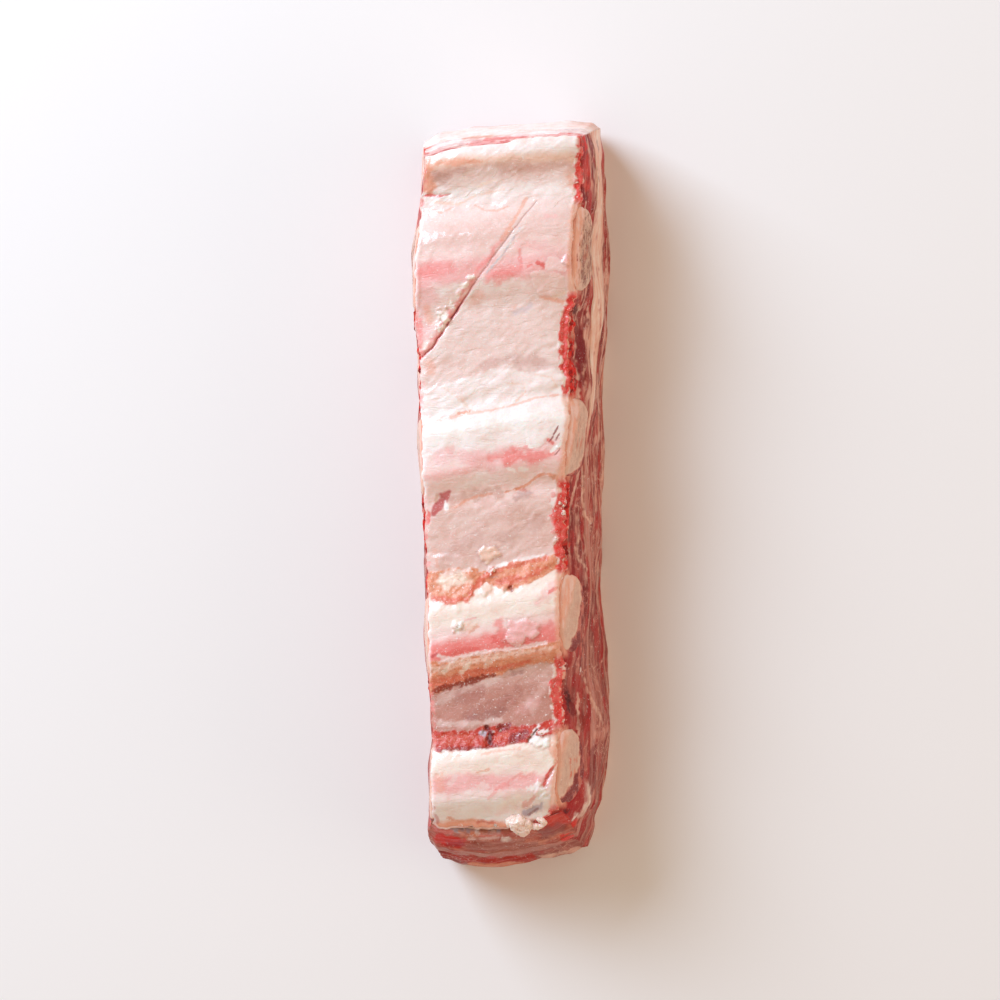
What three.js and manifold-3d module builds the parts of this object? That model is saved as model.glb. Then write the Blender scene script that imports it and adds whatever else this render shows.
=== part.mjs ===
// A strip of raw beef short ribs, sawn across four rib bones and lying bone side up.
// X runs across the strip along the bones, Y along the strip, Z up. Millimetres.
// The origin is on the resting face, under the middle of the strip.
import * as THREE from "three";
import { mergeVertices } from "three/addons/utils/BufferGeometryUtils.js";
import Module from "manifold-3d";

const wasm = await Module();
wasm.setup();

// ---- Driving dimensions ----
const skinLevel = 46; // height of the membrane between two ribs
const ribRise = 4; // how far a rib lifts the membrane
const skinThickness = 1.6;
const ribMeatBottom = 30.5;
const seamThickBack = 13; // fat seam at the far end
const seamThickFront = 1.8; // and at the near end
const capThickness = 3;
const gap = 0.3; // clearance between touching pieces
const seamGap = 0.5; // and above the fat seam, whose grid is coarser
const sideRoundHeight = 7; // the lower edges tuck in over this height
const sideTuck = 3;

// Each rib crosses the strip at y and climbs towards +X by tilt.
const ribs = [
  { y: 84, tilt: 0.12, halfWidth: 14.5, rise: 0.9, thickness: 15 },
  { y: 18.4, tilt: 0.15, halfWidth: 13.5, rise: 1, thickness: 14 },
  { y: -43, tilt: 0.19, halfWidth: 13.5, rise: 1, thickness: 12.5 },
  { y: -95.5, tilt: 0.16, halfWidth: 12.7, rise: 0.95, thickness: 10.5 },
];

// Outlines of the two cut sides in plan as [y, x] stations, joined smoothly.
const leftTopEdge = [
  [-118, -27.6], [-99, -27.9], [-85, -27.3], [-74, -27.9], [-60, -28.7], [-26, -29.2], [-12, -30], [14, -31.2],
  [46, -31.7], [61, -33.4], [80, -33.7], [99, -31.4], [116, -30.2],
];
const rightTopEdge = [
  [-117, 11], [-103, 15], [-92, 16], [-79, 15.5], [-66, 14.4], [-52, 16.7], [-30, 16.5], [-5, 15.9], [4, 16.8],
  [14, 18.6], [28, 20], [36, 18.4], [50, 17.4], [62, 18], [71, 20.7], [84, 20.8], [95, 21.4], [105, 22], [123, 23.2],
];
const rightBaseEdge = [
  [-124, 22.5], [-115, 25.5], [-106, 29], [-95, 30.3], [-82, 31], [-70, 30.5], [-57, 29.3], [-45, 28.6],
  [-31, 28.2], [-1, 28], [22, 28.2], [39, 29], [60, 29.8], [85, 30], [107, 30.2], [119, 29.2], [128, 27.3],
];
const leftBaseSpread = 3.6; // how far the left side spreads below its top edge
const leanHeight = 47; // the sides lean outwards below this height
const leanPower = 2.6; // and most of it near the top

// Outlines of the two ends as [share across, y] stations, at the membrane and below it.
const frontTopEdge = [[0, -112.3], [0.08, -113.4], [0.65, -113.2], [0.85, -111], [1, -107.5]];
const frontBaseEdge = [
  [0, -124.5], [0.06, -128.3], [0.2, -130.3], [0.4, -131.3], [0.56, -129.6], [0.73, -127.6], [0.88, -126], [1, -123.5],
];
const backTopEdge = [[0, 117.5], [0.2, 120], [0.4, 121.5], [0.75, 123.5], [1, 124.3]];
const backBaseEdge = [
  [0, 126.5], [0.1, 129.5], [0.31, 131], [0.59, 131.8], [0.82, 132.6], [0.95, 131.8], [1, 129.8],
];
const endBulgeShare = 0.75; // the ends reach their outer line this far down
const backSkew = 0.15; // the far end follows the ribs
const sideWave = 0.7; // slack meat is never quite straight

// ---- Small helpers ----
const mix = (a, b, t) => a + (b - a) * t;
const clamp = (v, low, high) => Math.min(high, Math.max(low, v));
function smoothStep(from, to, v) {
  const t = clamp((v - from) / (to - from), 0, 1);
  return t * t * (3 - 2 * t);
}
function along(stations, v) {
  if (v <= stations[0][0]) return stations[0][1];
  for (let i = 1; i < stations.length; i++) {
    const [start, from] = stations[i - 1];
    const [end, to] = stations[i];
    if (v <= end) return mix(from, to, smoothStep(start, end, v));
  }
  return stations[stations.length - 1][1];
}
const hump = (v, centre, halfWidth) => Math.exp(-(((v - centre) / halfWidth) ** 2));

// ---- The block that every layer is a slice of ----
const blockTop = skinLevel + ribRise;
const depthShare = (z) => clamp(1 - z / blockTop, 0, 1);
const lean = (z) => 1 - clamp(z / leanHeight, 0, 1) ** leanPower;
const tuckIn = (z) => sideTuck * clamp(1 - z / sideRoundHeight, 0, 1) ** 2;

// Waves that grow below the top edges.
function slack(y, z, phase) {
  const longWave = Math.sin(y / 11 + z / 8 + phase);
  const shortWave = Math.sin(y / 5.6 - z / 6 + 2 * phase);
  return sideWave * smoothStep(0.1, 0.4, depthShare(z)) * (longWave + 0.6 * shortWave);
}

function leftSide(y, z) {
  return along(leftTopEdge, y) - leftBaseSpread * lean(z) - slack(y, z, 1.7) + tuckIn(z);
}
function rightSide(y, z) {
  return mix(along(rightTopEdge, y), along(rightBaseEdge, y), lean(z)) + slack(y, z, 0) - tuckIn(z);
}
// across and lengthwise run from 0 to 1.
function plan(across, lengthwise, z) {
  const bulge = smoothStep(0, endBulgeShare, depthShare(z));
  const back = mix(along(backTopEdge, across), along(backBaseEdge, across), bulge) - tuckIn(z);
  const front = mix(along(frontTopEdge, across), along(frontBaseEdge, across), bulge) + tuckIn(z);
  const y = mix(front, back, lengthwise);
  return { x: mix(leftSide(y, z), rightSide(y, z), across), y };
}
function place(across, lengthwise, level) {
  let z = skinLevel;
  let p;
  for (let pass = 0; pass < 5; pass++) {
    p = plan(across, lengthwise, z);
    z = level(p.x, p.y);
  }
  return [p.x, p.y, z];
}

// ---- Heights of the layers ----
const ribLine = (rib, x) => rib.y + rib.tilt * (x - Math.max(0, x) ** 2 / 60);
const ribLift = (rib, x, y) =>
  rib.rise * ribRise * (1 - smoothStep(0.45, 1.3, Math.abs(y - ribLine(rib, x)) / rib.halfWidth));

// Strips of fat and sinew beside the ribs, by the middle of each strip in y and its tilt.
const fatStrips = [
  { y: 36, tilt: 0.13, halfWidth: 5.2, height: 0.8 },
  { y: -27, tilt: 0.22, halfWidth: 4, height: 1.1 },
  { y: -56, tilt: 0.24, halfWidth: 3.4, height: 1.5 },
  { y: -82.6, tilt: 0.09, halfWidth: 3.5, height: 0.7 },
];
const stripLift = (strip, x, y) => strip.height * hump(y, strip.y + strip.tilt * x, strip.halfWidth);

const endHollow = { y: 106, halfWidth: 7, depth: 3.4 };
const endLip = { y: 118.5, halfWidth: 4, height: 2.4 };
function skinTop(x, y) {
  const skew = backSkew * x;
  const bulges = ribs.reduce((sum, rib) => sum + ribLift(rib, x, y), 0);
  const strips = fatStrips.reduce((sum, strip) => sum + stripLift(strip, x, y), 0);
  const hollow = endHollow.depth * hump(y, endHollow.y + skew, endHollow.halfWidth) * (1 - smoothStep(-30, 30, x) * 0.6);
  const lip = endLip.height * hump(y, endLip.y + skew, endLip.halfWidth);
  const middle = (along(leftTopEdge, y) + along(rightTopEdge, y)) / 2;
  const crown = 1.4 * Math.min(1, Math.abs(x - middle) / 25) ** 4;
  const frontDroop = 2.6 * smoothStep(-104, -119, y);
  return skinLevel + bulges + strips + lip - hollow - crown - frontDroop;
}
const skinBottom = (x, y) => skinTop(x, y) - skinThickness;
const ribMeatTop = (x, y) => skinBottom(x, y) - gap;
const ribMeatBase = (x, y) =>
  ribMeatBottom + 0.9 * Math.sin(y / 17 + 0.8) + 0.6 * Math.sin(x / 9 - y / 31) - 3 * smoothStep(-95, -122, y);
const seamTop = (x, y) => ribMeatBase(x, y) - seamGap;
function seamBottom(x, y) {
  const thick = mix(seamThickFront, seamThickBack, smoothStep(10, 105, y));
  return seamTop(x, y) - thick - 0.5 * Math.sin(y / 12 + x / 14);
}
const outerMeatTop = (x, y) => seamBottom(x, y) - gap;
const outerMeatBottom = (x, y) => capThickness + 0.5 * Math.sin(y / 19) + 0.4 * Math.sin(x / 8 + y / 40);
const capTop = (x, y) => outerMeatBottom(x, y) - gap;
const floorLevel = () => 0;

// ---- Solids ----
function toSolid(corners) {
  const geometry = new THREE.BufferGeometry();
  geometry.setAttribute("position", new THREE.Float32BufferAttribute(corners.flat(), 3));
  const merged = mergeVertices(geometry, 1e-3);
  return new wasm.Manifold(
    new wasm.Mesh({
      numProp: 3,
      vertProperties: merged.attributes.position.array,
      triVerts: new Uint32Array(merged.index.array),
    }),
  );
}
const quad = (a, b, c, d) => [a, b, c, a, c, d];

// A closed slice of the block between two height functions.
function layer(bottom, top, { columns, rows }, wallRows) {
  const at = (i, j, level) => place(i / columns, j / rows, level);
  const faces = [];
  for (let i = 0; i < columns; i++) {
    for (let j = 0; j < rows; j++) {
      faces.push(...quad(at(i, j, top), at(i + 1, j, top), at(i + 1, j + 1, top), at(i, j + 1, top)));
      faces.push(...quad(at(i, j, bottom), at(i, j + 1, bottom), at(i + 1, j + 1, bottom), at(i + 1, j, bottom)));
    }
  }
  const wallPoint = (i, j, k) => {
    if (k === 0) return at(i, j, bottom);
    if (k === wallRows) return at(i, j, top);
    const z = mix(at(i, j, bottom)[2], at(i, j, top)[2], k / wallRows);
    const p = plan(i / columns, j / rows, z);
    return [p.x, p.y, z];
  };
  const wall = (i0, j0, i1, j1) => {
    for (let k = 0; k < wallRows; k++) {
      faces.push(
        ...quad(wallPoint(i0, j0, k), wallPoint(i1, j1, k), wallPoint(i1, j1, k + 1), wallPoint(i0, j0, k + 1)),
      );
    }
  };
  for (let i = 0; i < columns; i++) {
    wall(i, 0, i + 1, 0);
    wall(i + 1, rows, i, rows);
  }
  for (let j = 0; j < rows; j++) {
    wall(columns, j, columns, j + 1);
    wall(0, j + 1, 0, j);
  }
  return toSolid(faces);
}

// A closed tube through rings of equal length.
function loft(rings) {
  const faces = [];
  const count = rings[0].length;
  for (let r = 0; r + 1 < rings.length; r++) {
    for (let k = 0; k < count; k++) {
      const next = (k + 1) % count;
      faces.push(...quad(rings[r][k], rings[r][next], rings[r + 1][next], rings[r + 1][k]));
    }
  }
  const centre = (ring) => [0, 1, 2].map((axis) => ring.reduce((sum, p) => sum + p[axis], 0) / count);
  const first = rings[0];
  const last = rings[rings.length - 1];
  for (let k = 0; k < count; k++) {
    const next = (k + 1) % count;
    faces.push(first[next], first[k], centre(first));
    faces.push(last[k], last[next], centre(last));
  }
  return toSolid(faces);
}

// A rib bone's section is flat under the membrane and rounded below.
const boneSides = 18;
const boneStations = 6;
const boneEdgeDepth = 4.5;
const boneTopGap = 0.6; // under the faceted membrane
const channelGap = 0.5; // round a bone in the meat
const boneProud = 0.5; // the sawn ends stand out of the meat that has drawn back
function boneRing(rib, xAt, grow, openTop) {
  const ring = [];
  for (let k = 0; k < boneSides; k++) {
    const turn = (2 * Math.PI * k) / boneSides;
    const c = Math.cos(turn);
    const s = Math.sin(turn);
    const side = Math.sign(c) * Math.abs(c) ** 0.85 * (rib.halfWidth + grow);
    let x = xAt(rib.y, 40);
    let y;
    let z;
    for (let pass = 0; pass < 5; pass++) {
      y = ribLine(rib, x) + side;
      const under = skinBottom(x, ribLine(rib, x)) - boneTopGap;
      const edge = under - boneEdgeDepth;
      if (s >= 0) {
        z = openTop ? mix(edge, blockTop + 10, s ** 0.45) : mix(edge, skinBottom(x, y) - boneTopGap, s ** 0.45);
      } else {
        z = edge - (rib.thickness - boneEdgeDepth + grow) * Math.abs(s) ** 0.9;
      }
      x = xAt(y, z);
    }
    ring.push([x, y, z]);
  }
  return ring;
}
function boneSolid(rib) {
  const rings = [];
  for (let r = 0; r <= boneStations; r++) {
    const share = r / boneStations;
    const xAt = (y, z) => mix(leftSide(y, z) - boneProud, rightSide(y, z) + boneProud, share);
    rings.push(boneRing(rib, xAt, 0, false));
  }
  return loft(rings);
}
// The channel that a bone lies in, open upwards and through both sides.
function boneChannel(rib) {
  const rings = [];
  for (let r = 0; r <= boneStations + 2; r++) {
    const x = mix(-50, 50, r / (boneStations + 2));
    rings.push(boneRing(rib, () => x, channelGap, true));
  }
  return loft(rings);
}

// A knife slash that opens towards the left edge.
const slashStart = { x: 7, y: 101.5, halfWidth: 0.25, depth: 0.8 };
const slashEnd = { x: -35, y: 44, halfWidth: 1.4, depth: 5 };
function slashSolid() {
  const rings = [];
  const stations = 9;
  const dx = slashEnd.x - slashStart.x;
  const dy = slashEnd.y - slashStart.y;
  const length = Math.hypot(dx, dy);
  for (let r = 0; r <= stations; r++) {
    const t = r / stations;
    const x = mix(slashStart.x, slashEnd.x, t);
    const y = mix(slashStart.y, slashEnd.y, t);
    const surface = skinTop(x, y);
    const half = mix(slashStart.halfWidth, slashEnd.halfWidth, smoothStep(0.2, 0.9, t));
    const depth = mix(slashStart.depth, slashEnd.depth, smoothStep(0.5, 0.8, t));
    const lift = 3;
    const wide = (half * (depth + lift)) / depth;
    const nx = -dy / length;
    const ny = dx / length;
    rings.push([
      [x - nx * wide, y - ny * wide, surface + lift],
      [x, y, surface - depth],
      [x + nx * wide, y + ny * wide, surface + lift],
    ]);
  }
  return loft(rings);
}

// Thin scraps of fat that cling to the membrane.
const flakes = [
  { x: -8.3, y: -19.7, long: 3.6, wide: 2.6, thick: 0.7 },
  { x: 4.8, y: -46.8, long: 5.4, wide: 4.2, thick: 0.8 },
];
function flakeSolid({ x, y, long, wide, thick }) {
  const corners = 9;
  const ring = (lift, at) => {
    const points = [];
    for (let k = 0; k < corners; k++) {
      const turn = (2 * Math.PI * k) / corners;
      const ragged = 1 + 0.18 * Math.sin(2.7 * k);
      const px = x + long * ragged * at * Math.cos(turn);
      const py = y + wide * ragged * at * Math.sin(turn);
      points.push([px, py, skinTop(px, py) + lift]);
    }
    return points;
  };
  return loft([ring(-0.9, 1), ring(thick * 0.6, 1), ring(thick, 0.85)]);
}

// A knob of fat at the near edge, made of overlapping lobes.
const knobSink = 1.2; // how deep the lobes sit in the membrane
const knobSquash = 0.85;
const knobLobes = [
  { x: 0.6, y: -112.2, radius: 3.2 },
  { x: 4, y: -112.6, radius: 3 },
  { x: 8.6, y: -111, radius: 2.7 },
];
function knobLobe({ x, y, radius }) {
  const sphere = new THREE.IcosahedronGeometry(radius, 1).scale(1, knobSquash, knobSquash);
  sphere.translate(x, y, skinTop(x, y) + knobSquash * radius - knobSink);
  const p = sphere.attributes.position;
  const corners = [];
  for (let i = 0; i < p.count; i++) corners.push([p.getX(i), p.getY(i), p.getZ(i)]);
  return toSolid(corners);
}

// Layers that touch along a bumpy face share a grid.
const fineGrid = { columns: 9, rows: 66 };
const coarseGrid = { columns: 5, rows: 36 };

function membraneSolid() {
  let solid = layer(skinBottom, skinTop, fineGrid, 1);
  for (const flake of flakes) solid = solid.add(flakeSolid(flake));
  for (const lobe of knobLobes) solid = solid.add(knobLobe(lobe));
  return solid.subtract(slashSolid());
}
function ribMeatSolid() {
  let solid = layer(ribMeatBase, ribMeatTop, fineGrid, 3);
  for (const rib of ribs) solid = solid.subtract(boneChannel(rib));
  return solid.subtract(slashSolid());
}

// ---- The strip ----
const material = (color, roughness) => new THREE.MeshStandardMaterial({ color, roughness, metalness: 0 });
const skinFinish = material(0xe9c4b6, 0.35);
const boneFinish = material(0xe6d3bd, 0.5);
const ribMeatFinish = material(0xb5433f, 0.35);
const seamFinish = material(0xe8cdb4, 0.45);
const outerMeatFinish = material(0xa85a52, 0.4);
const capFinish = material(0xeeddc8, 0.5);

function mesh(name, solid, finish) {
  const { vertProperties, triVerts, numProp } = solid.getMesh();
  const positions = [];
  for (let i = 0; i < vertProperties.length; i += numProp) {
    positions.push(vertProperties[i], vertProperties[i + 1], vertProperties[i + 2]);
  }
  const geometry = new THREE.BufferGeometry();
  geometry.setAttribute("position", new THREE.Float32BufferAttribute(positions, 3));
  geometry.setIndex(new THREE.BufferAttribute(new Uint32Array(triVerts), 1));
  geometry.computeVertexNormals();
  const made = new THREE.Mesh(geometry, finish);
  made.name = name;
  return made;
}

const strip = new THREE.Group();
strip.add(mesh("membrane", membraneSolid(), skinFinish));
strip.add(mesh("rib_meat", ribMeatSolid(), ribMeatFinish));
ribs.forEach((rib, i) => strip.add(mesh(`rib_bone_${i + 1}`, boneSolid(rib), boneFinish)));
strip.add(mesh("fat_seam", layer(seamBottom, seamTop, coarseGrid, 1), seamFinish));
strip.add(mesh("outer_meat", layer(outerMeatBottom, outerMeatTop, coarseGrid, 4), outerMeatFinish));
strip.add(mesh("fat_cap", layer(floorLevel, capTop, coarseGrid, 2), capFinish));

// The outlines above are measured from a line left of the middle. This puts the origin under the middle
// of the strip's box.
const boxMiddle = new THREE.Box3().setFromObject(strip).getCenter(new THREE.Vector3());
strip.position.set(-boxMiddle.x, -boxMiddle.y, 0);

export default strip;
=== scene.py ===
import math
import bpy
import numpy as np
from mathutils import Matrix, Vector


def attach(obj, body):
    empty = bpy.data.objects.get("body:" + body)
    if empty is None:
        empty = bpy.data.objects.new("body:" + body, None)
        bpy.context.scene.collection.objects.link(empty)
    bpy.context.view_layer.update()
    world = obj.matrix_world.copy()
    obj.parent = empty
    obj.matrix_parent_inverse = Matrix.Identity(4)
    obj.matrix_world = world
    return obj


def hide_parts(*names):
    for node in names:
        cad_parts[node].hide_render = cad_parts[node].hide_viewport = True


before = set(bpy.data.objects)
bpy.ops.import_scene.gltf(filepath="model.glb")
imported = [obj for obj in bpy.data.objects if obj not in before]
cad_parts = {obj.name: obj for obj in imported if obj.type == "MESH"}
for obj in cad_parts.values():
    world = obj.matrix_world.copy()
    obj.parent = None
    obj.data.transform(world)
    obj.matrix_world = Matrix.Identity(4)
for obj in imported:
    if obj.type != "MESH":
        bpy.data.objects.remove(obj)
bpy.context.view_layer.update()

# A strip of raw beef short ribs, bone side up. Shapes are worked out in millimetres
# and turned into metres when a mesh is made.
mm = 0.001
blockPlace = (3.446, -0.641)  # where the strip's own zero lies in the frame


# small helpers
def mix(a, b, share):
    return a + (b - a) * share


def smooth(low, high, v):
    t = np.clip((v - low) / (high - low), 0, 1)
    return t * t * (3 - 2 * t)


def hump(v, centre, half):
    return np.exp(-((v - centre) / half) ** 2)


def along(stations, v, column=1):  # smooth curve through (v, value, ...) rows, flat past its ends
    table = np.array(stations, float)
    i = np.clip(np.searchsorted(table[:, 0], v) - 1, 0, len(table) - 2)
    t = smooth(table[i, 0], table[i + 1, 0], v)
    return mix(table[i, column], table[i + 1, column], t)


noiseCells = 48
noiseTable = np.random.default_rng(20).uniform(-1, 1, (noiseCells,) * 3)


def noise(x, y, z, size, seed=0):  # soft lumps of one size, or one size for each axis
    points = np.stack(np.broadcast_arrays(x, y, z), -1) / np.array(size, float) + seed * 5.37
    cell = np.floor(points).astype(int)
    t = points - cell
    t = t * t * t * (t * (t * 6 - 15) + 10)
    total = 0
    for corner in np.ndindex(2, 2, 2):
        weight = np.prod(np.where(corner, t, 1 - t), axis=-1)
        i = (cell + corner) % noiseCells
        total = total + weight * noiseTable[i[..., 0], i[..., 1], i[..., 2]]
    return total


def cloud(x, y, z, size, seed=0, octaves=3):  # lumps on lumps
    size = np.array(size, float)
    return sum(noise(x, y, z, size / 2 ** n, seed + n) / 2 ** n for n in range(octaves))


def ridges(x, y, z, size, seed=0):  # sharp creases
    return 1 - 2 * np.abs(noise(x, y, z, size, seed))


# colours
def rgb(red, green, blue):  # screen colour to linear
    def linear(v):
        v = v / 255
        return v / 12.92 if v <= 0.04045 else ((v + 0.055) / 1.055) ** 2.4
    return (linear(red), linear(green), linear(blue), 1.0)


tones = {
    "chalk": (254, 246, 240), "white": (250, 236, 230), "mist": (244, 222, 215), "cream": (252, 233, 220),
    "butter": (252, 226, 206), "blush": (250, 218, 211), "pink": (247, 188, 184), "rose": (243, 138, 132),
    "red": (226, 76, 66), "crimson": (196, 56, 64), "salmon": (240, 166, 136), "peach": (246, 208, 188),
    "veil": (241, 214, 205), "haze": (233, 198, 187), "dusk": (216, 174, 160), "mauve": (184, 122, 110),
    "plum": (152, 100, 98), "lilac": (194, 184, 196), "orange": (232, 152, 116), "brick": (200, 54, 34),
    "rust": (224, 106, 78), "brown": (150, 46, 24), "blood": (138, 8, 12), "maroon": (128, 18, 22),
    "dark": (92, 12, 16), "fringe": (234, 50, 40), "meat": (188, 40, 40), "muscle": (186, 98, 88),
    "muscleDark": (140, 50, 48), "muscleLight": (238, 180, 162), "bone": (230, 194, 176),
    "marrow": (224, 184, 166), "sponge": (206, 168, 146), "speck": (150, 96, 80), "rim": (250, 184, 158),
    "wax": (250, 216, 190), "taupe": (200, 142, 128), "tissue": (206, 118, 104),
}
tones = {name: np.array(rgb(*value)[:3]) for name, value in tones.items()}


def reach(u, v, points):  # distance to a line through (u, v, half width) points, counted in half widths
    nearest = np.full(np.shape(u), 99.0)
    for (au, av, aHalf), (bu, bv, bHalf) in zip(points, points[1:] or points):
        du, dv = bu - au, bv - av
        t = np.clip(((u - au) * du + (v - av) * dv) / max(du * du + dv * dv, 1e-9), 0, 1)
        nearest = np.minimum(nearest, np.hypot(u - au - t * du, v - av - t * dv) / mix(aHalf, bHalf, t))
    return nearest


def strokeMask(u, v, points, seed, soft=0.5, ragged=0.4):  # 1 along the line, 0 past its ragged edge
    ratio = reach(u, v, points)
    mask = np.zeros(np.shape(u))
    near = ratio < 1.2 + soft + ragged
    grain = max(0.9, max(point[2] for point in points))
    wobble = noise(u[near], v[near], 0, grain * 2.2, seed)
    wobble = wobble + 0.9 * noise(u[near], v[near], 0, grain * 0.8, seed + 3)
    mask[near] = 1 - smooth(1 - soft, 1 + soft, ratio[near] + 1.3 * ragged * (wobble - 0.15))
    return mask


def layOn(ground, mask, name):  # paints one tone over the colours so far
    ground += (tones[name] - ground) * np.clip(mask, 0, 1)[:, None]


# strokes are rows of tone, strength, then points of u, v, half width
def layStrokes(ground, u, v, strokes, where=1, seed=100, soft=0.5, ragged=0.4):
    for n, (name, strength, *points) in enumerate(strokes):
        layOn(ground, where * strength * strokeMask(u, v, points, seed + 7 * n, soft, ragged), name)


def paint(mesh, ground, **masks):  # colours and masks that the finishes read by name; the wet mask sets how many painted glints a surface gets
    layer = mesh.attributes.new("ground", "FLOAT_VECTOR", "POINT")
    layer.data.foreach_set("vector", ground.astype(np.float32).ravel())
    for name, values in masks.items():
        values = np.clip(np.broadcast_to(values, len(mesh.vertices)), 0, 1)
        layer = mesh.attributes.new(name, "FLOAT", "POINT")
        layer.data.foreach_set("value", values.astype(np.float32))


# the block that every layer is a slice of
block = {
    "skinLevel": 46.0,  # membrane between two ribs
    "ribRise": 4.0,
    "skinThickness": 1.6,
    "leftSpread": 3.6,
    "leanTop": 47.0,
    "leanPower": 2.6,
    "sideTuck": 3.0,
    "tuckHeight": 7.0,
    "sideWave": 0.7,
    "endSlant": 0.15,
    "farHollow": {"y": 106, "half": 7, "deep": 2.4},  # behind the far lip
    "farLip": {"y": 118.5, "half": 4.4, "high": 1.8},
    "edgeDrop": 1.4,
    "nearDrop": 2.6,
}
ribs = [
    {"y": 84.0, "tilt": 0.12, "half": 14.5, "rise": 0.9, "thick": 15.0},
    {"y": 18.4, "tilt": 0.15, "half": 13.5, "rise": 1.0, "thick": 14.0},
    {"y": -43.0, "tilt": 0.19, "half": 13.5, "rise": 1.0, "thick": 12.5},
    {"y": -95.5, "tilt": 0.16, "half": 12.7, "rise": 0.95, "thick": 10.5},
]
# edges of the block seen from above: rows of y, x for the sides
leftTopEdge = [
    (-118, -27.6), (-99, -27.9), (-85, -27.3), (-74, -27.9), (-60, -28.7), (-26, -29.2), (-12, -30),
    (14, -31.2), (46, -31.7), (61, -33.4), (80, -33.7), (99, -31.4), (116, -30.2),
]
rightTopEdge = [
    (-117, 11), (-103, 15), (-92, 16), (-79, 15.5), (-66, 14.4), (-52, 16.7), (-30, 16.5), (-5, 15.9),
    (4, 16.8), (14, 18.6), (28, 20), (36, 18.4), (50, 17.4), (62, 18), (71, 20.7), (84, 20.8), (95, 21.4),
    (105, 22), (123, 23.2),
]
rightBaseEdge = [
    (-124, 22.5), (-115, 25.5), (-106, 29), (-95, 30.3), (-82, 31), (-70, 30.5), (-57, 29.3), (-45, 28.6),
    (-31, 28.2), (-1, 28), (22, 28.2), (39, 29), (60, 29.8), (85, 30), (107, 30.2), (119, 29.2), (128, 27.3),
]
# and rows of 0 to 1 across, y for the ends
frontTopEdge = [(0, -112.3), (0.08, -113.4), (0.65, -113.2), (0.85, -111), (1, -107.5)]
frontBaseEdge = [
    (0, -124.5), (0.06, -128.3), (0.2, -130.3), (0.4, -131.3), (0.56, -129.6), (0.73, -127.6), (0.88, -126),
    (1, -123.5),
]
backTopEdge = [(0, 117.5), (0.2, 120), (0.4, 121.5), (0.75, 123.5), (1, 124.3)]
backBaseEdge = [
    (0, 126.5), (0.1, 129.5), (0.31, 131), (0.59, 131.8), (0.82, 132.6), (0.95, 131.8), (1, 129.8),
]
blockTop = block["skinLevel"] + block["ribRise"]


def lean(z):  # 0 at the top edges, 1 at the table
    return 1 - np.clip(z / block["leanTop"], 0, 1) ** block["leanPower"]


def tuckIn(z):
    return block["sideTuck"] * np.clip(1 - z / block["tuckHeight"], 0, 1) ** 2


def slack(y, z, phase):
    growth = block["sideWave"] * smooth(0.1, 0.4, 1 - z / blockTop)
    return growth * (np.sin(y / 11 + z / 8 + phase) + 0.6 * np.sin(y / 5.6 - z / 6 + 2 * phase))


def leftSide(y, z):
    return along(leftTopEdge, y) - block["leftSpread"] * lean(z) - slack(y, z, 1.7) + tuckIn(z)


def rightSide(y, z):
    return mix(along(rightTopEdge, y), along(rightBaseEdge, y), lean(z)) + slack(y, z, 0) - tuckIn(z)


def plan(across, lengthwise, z):  # 0 to 1 across and along the strip gives x, y at a height
    bulge = smooth(0, 0.75, 1 - z / blockTop)
    back = mix(along(backTopEdge, across), along(backBaseEdge, across), bulge) - tuckIn(z)
    front = mix(along(frontTopEdge, across), along(frontBaseEdge, across), bulge) + tuckIn(z)
    y = mix(front, back, lengthwise)
    return mix(leftSide(y, z), rightSide(y, z), across), y


def ribLine(rib, x):
    return rib["y"] + rib["tilt"] * (x - np.maximum(0, x) ** 2 / 60)


def ribShare(rib, x, y):  # 0 on the rib's middle line, 1 at its far edge, -1 at its near edge
    return (y - ribLine(rib, x)) / rib["half"]


# strips of fat and sinew beside the ribs: rows of x, upper y, lower y
fatStrips = {
    "pale": {
        "height": 0.7, "tone": "white", "crumbly": 0.06,
        "rows": [
            (-30.6, 34.6, 24.9), (-22, 39.4, 27.5), (-13, 41.8, 29.2), (-7, 43.8, 30), (0, 44, 31.5),
            (5, 42.8, 34), (17.4, 44.3, 34.8),
        ],
    },
    "mixed": {
        "height": 0.9, "tone": "orange", "crumbly": 0.45,
        "rows": [
            (-28, -26, -35.9), (-25, -25.8, -37), (-21.5, -24.6, -37.5), (-14.3, -24.8, -36),
            (-12.8, -25.2, -32.6), (-8.4, -26.3, -29.6), (-6.3, -24.5, -31.6), (0, -22.8, -33),
            (1.6, -22.6, -31.6), (6.3, -21.9, -30), (10, -21, -28.2), (15.5, -19.5, -25.4),
        ],
    },
    "rusty": {
        "height": 1.3, "tone": "orange", "crumbly": 0.5,
        "rows": [
            (-27.5, -57.2, -68.4), (-18, -55.6, -65), (-10.6, -54, -63), (-3.9, -52.9, -62),
            (-1, -52.9, -60.1), (6.3, -51.6, -58.2), (16, -50, -57.5),
        ],
    },
    "bloody": {
        "height": 0.25, "tone": "brick", "crumbly": 0.5,
        "rows": [
            (-26, -81.3, -88.5), (-13.5, -81, -87.8), (-10.6, -79.6, -87.5), (-1, -78.6, -86.2),
            (4.8, -79.3, -85.2), (8.7, -78.6, -83.5), (14, -77.3, -82),
        ],
    },
}


def stripShare(strip, x, y):  # 0 on the strip's middle, 1 at its edges
    upper, lower = along(strip["rows"], x), along(strip["rows"], x, 2)
    return np.abs(2 * y - upper - lower) / (upper - lower)


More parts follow.
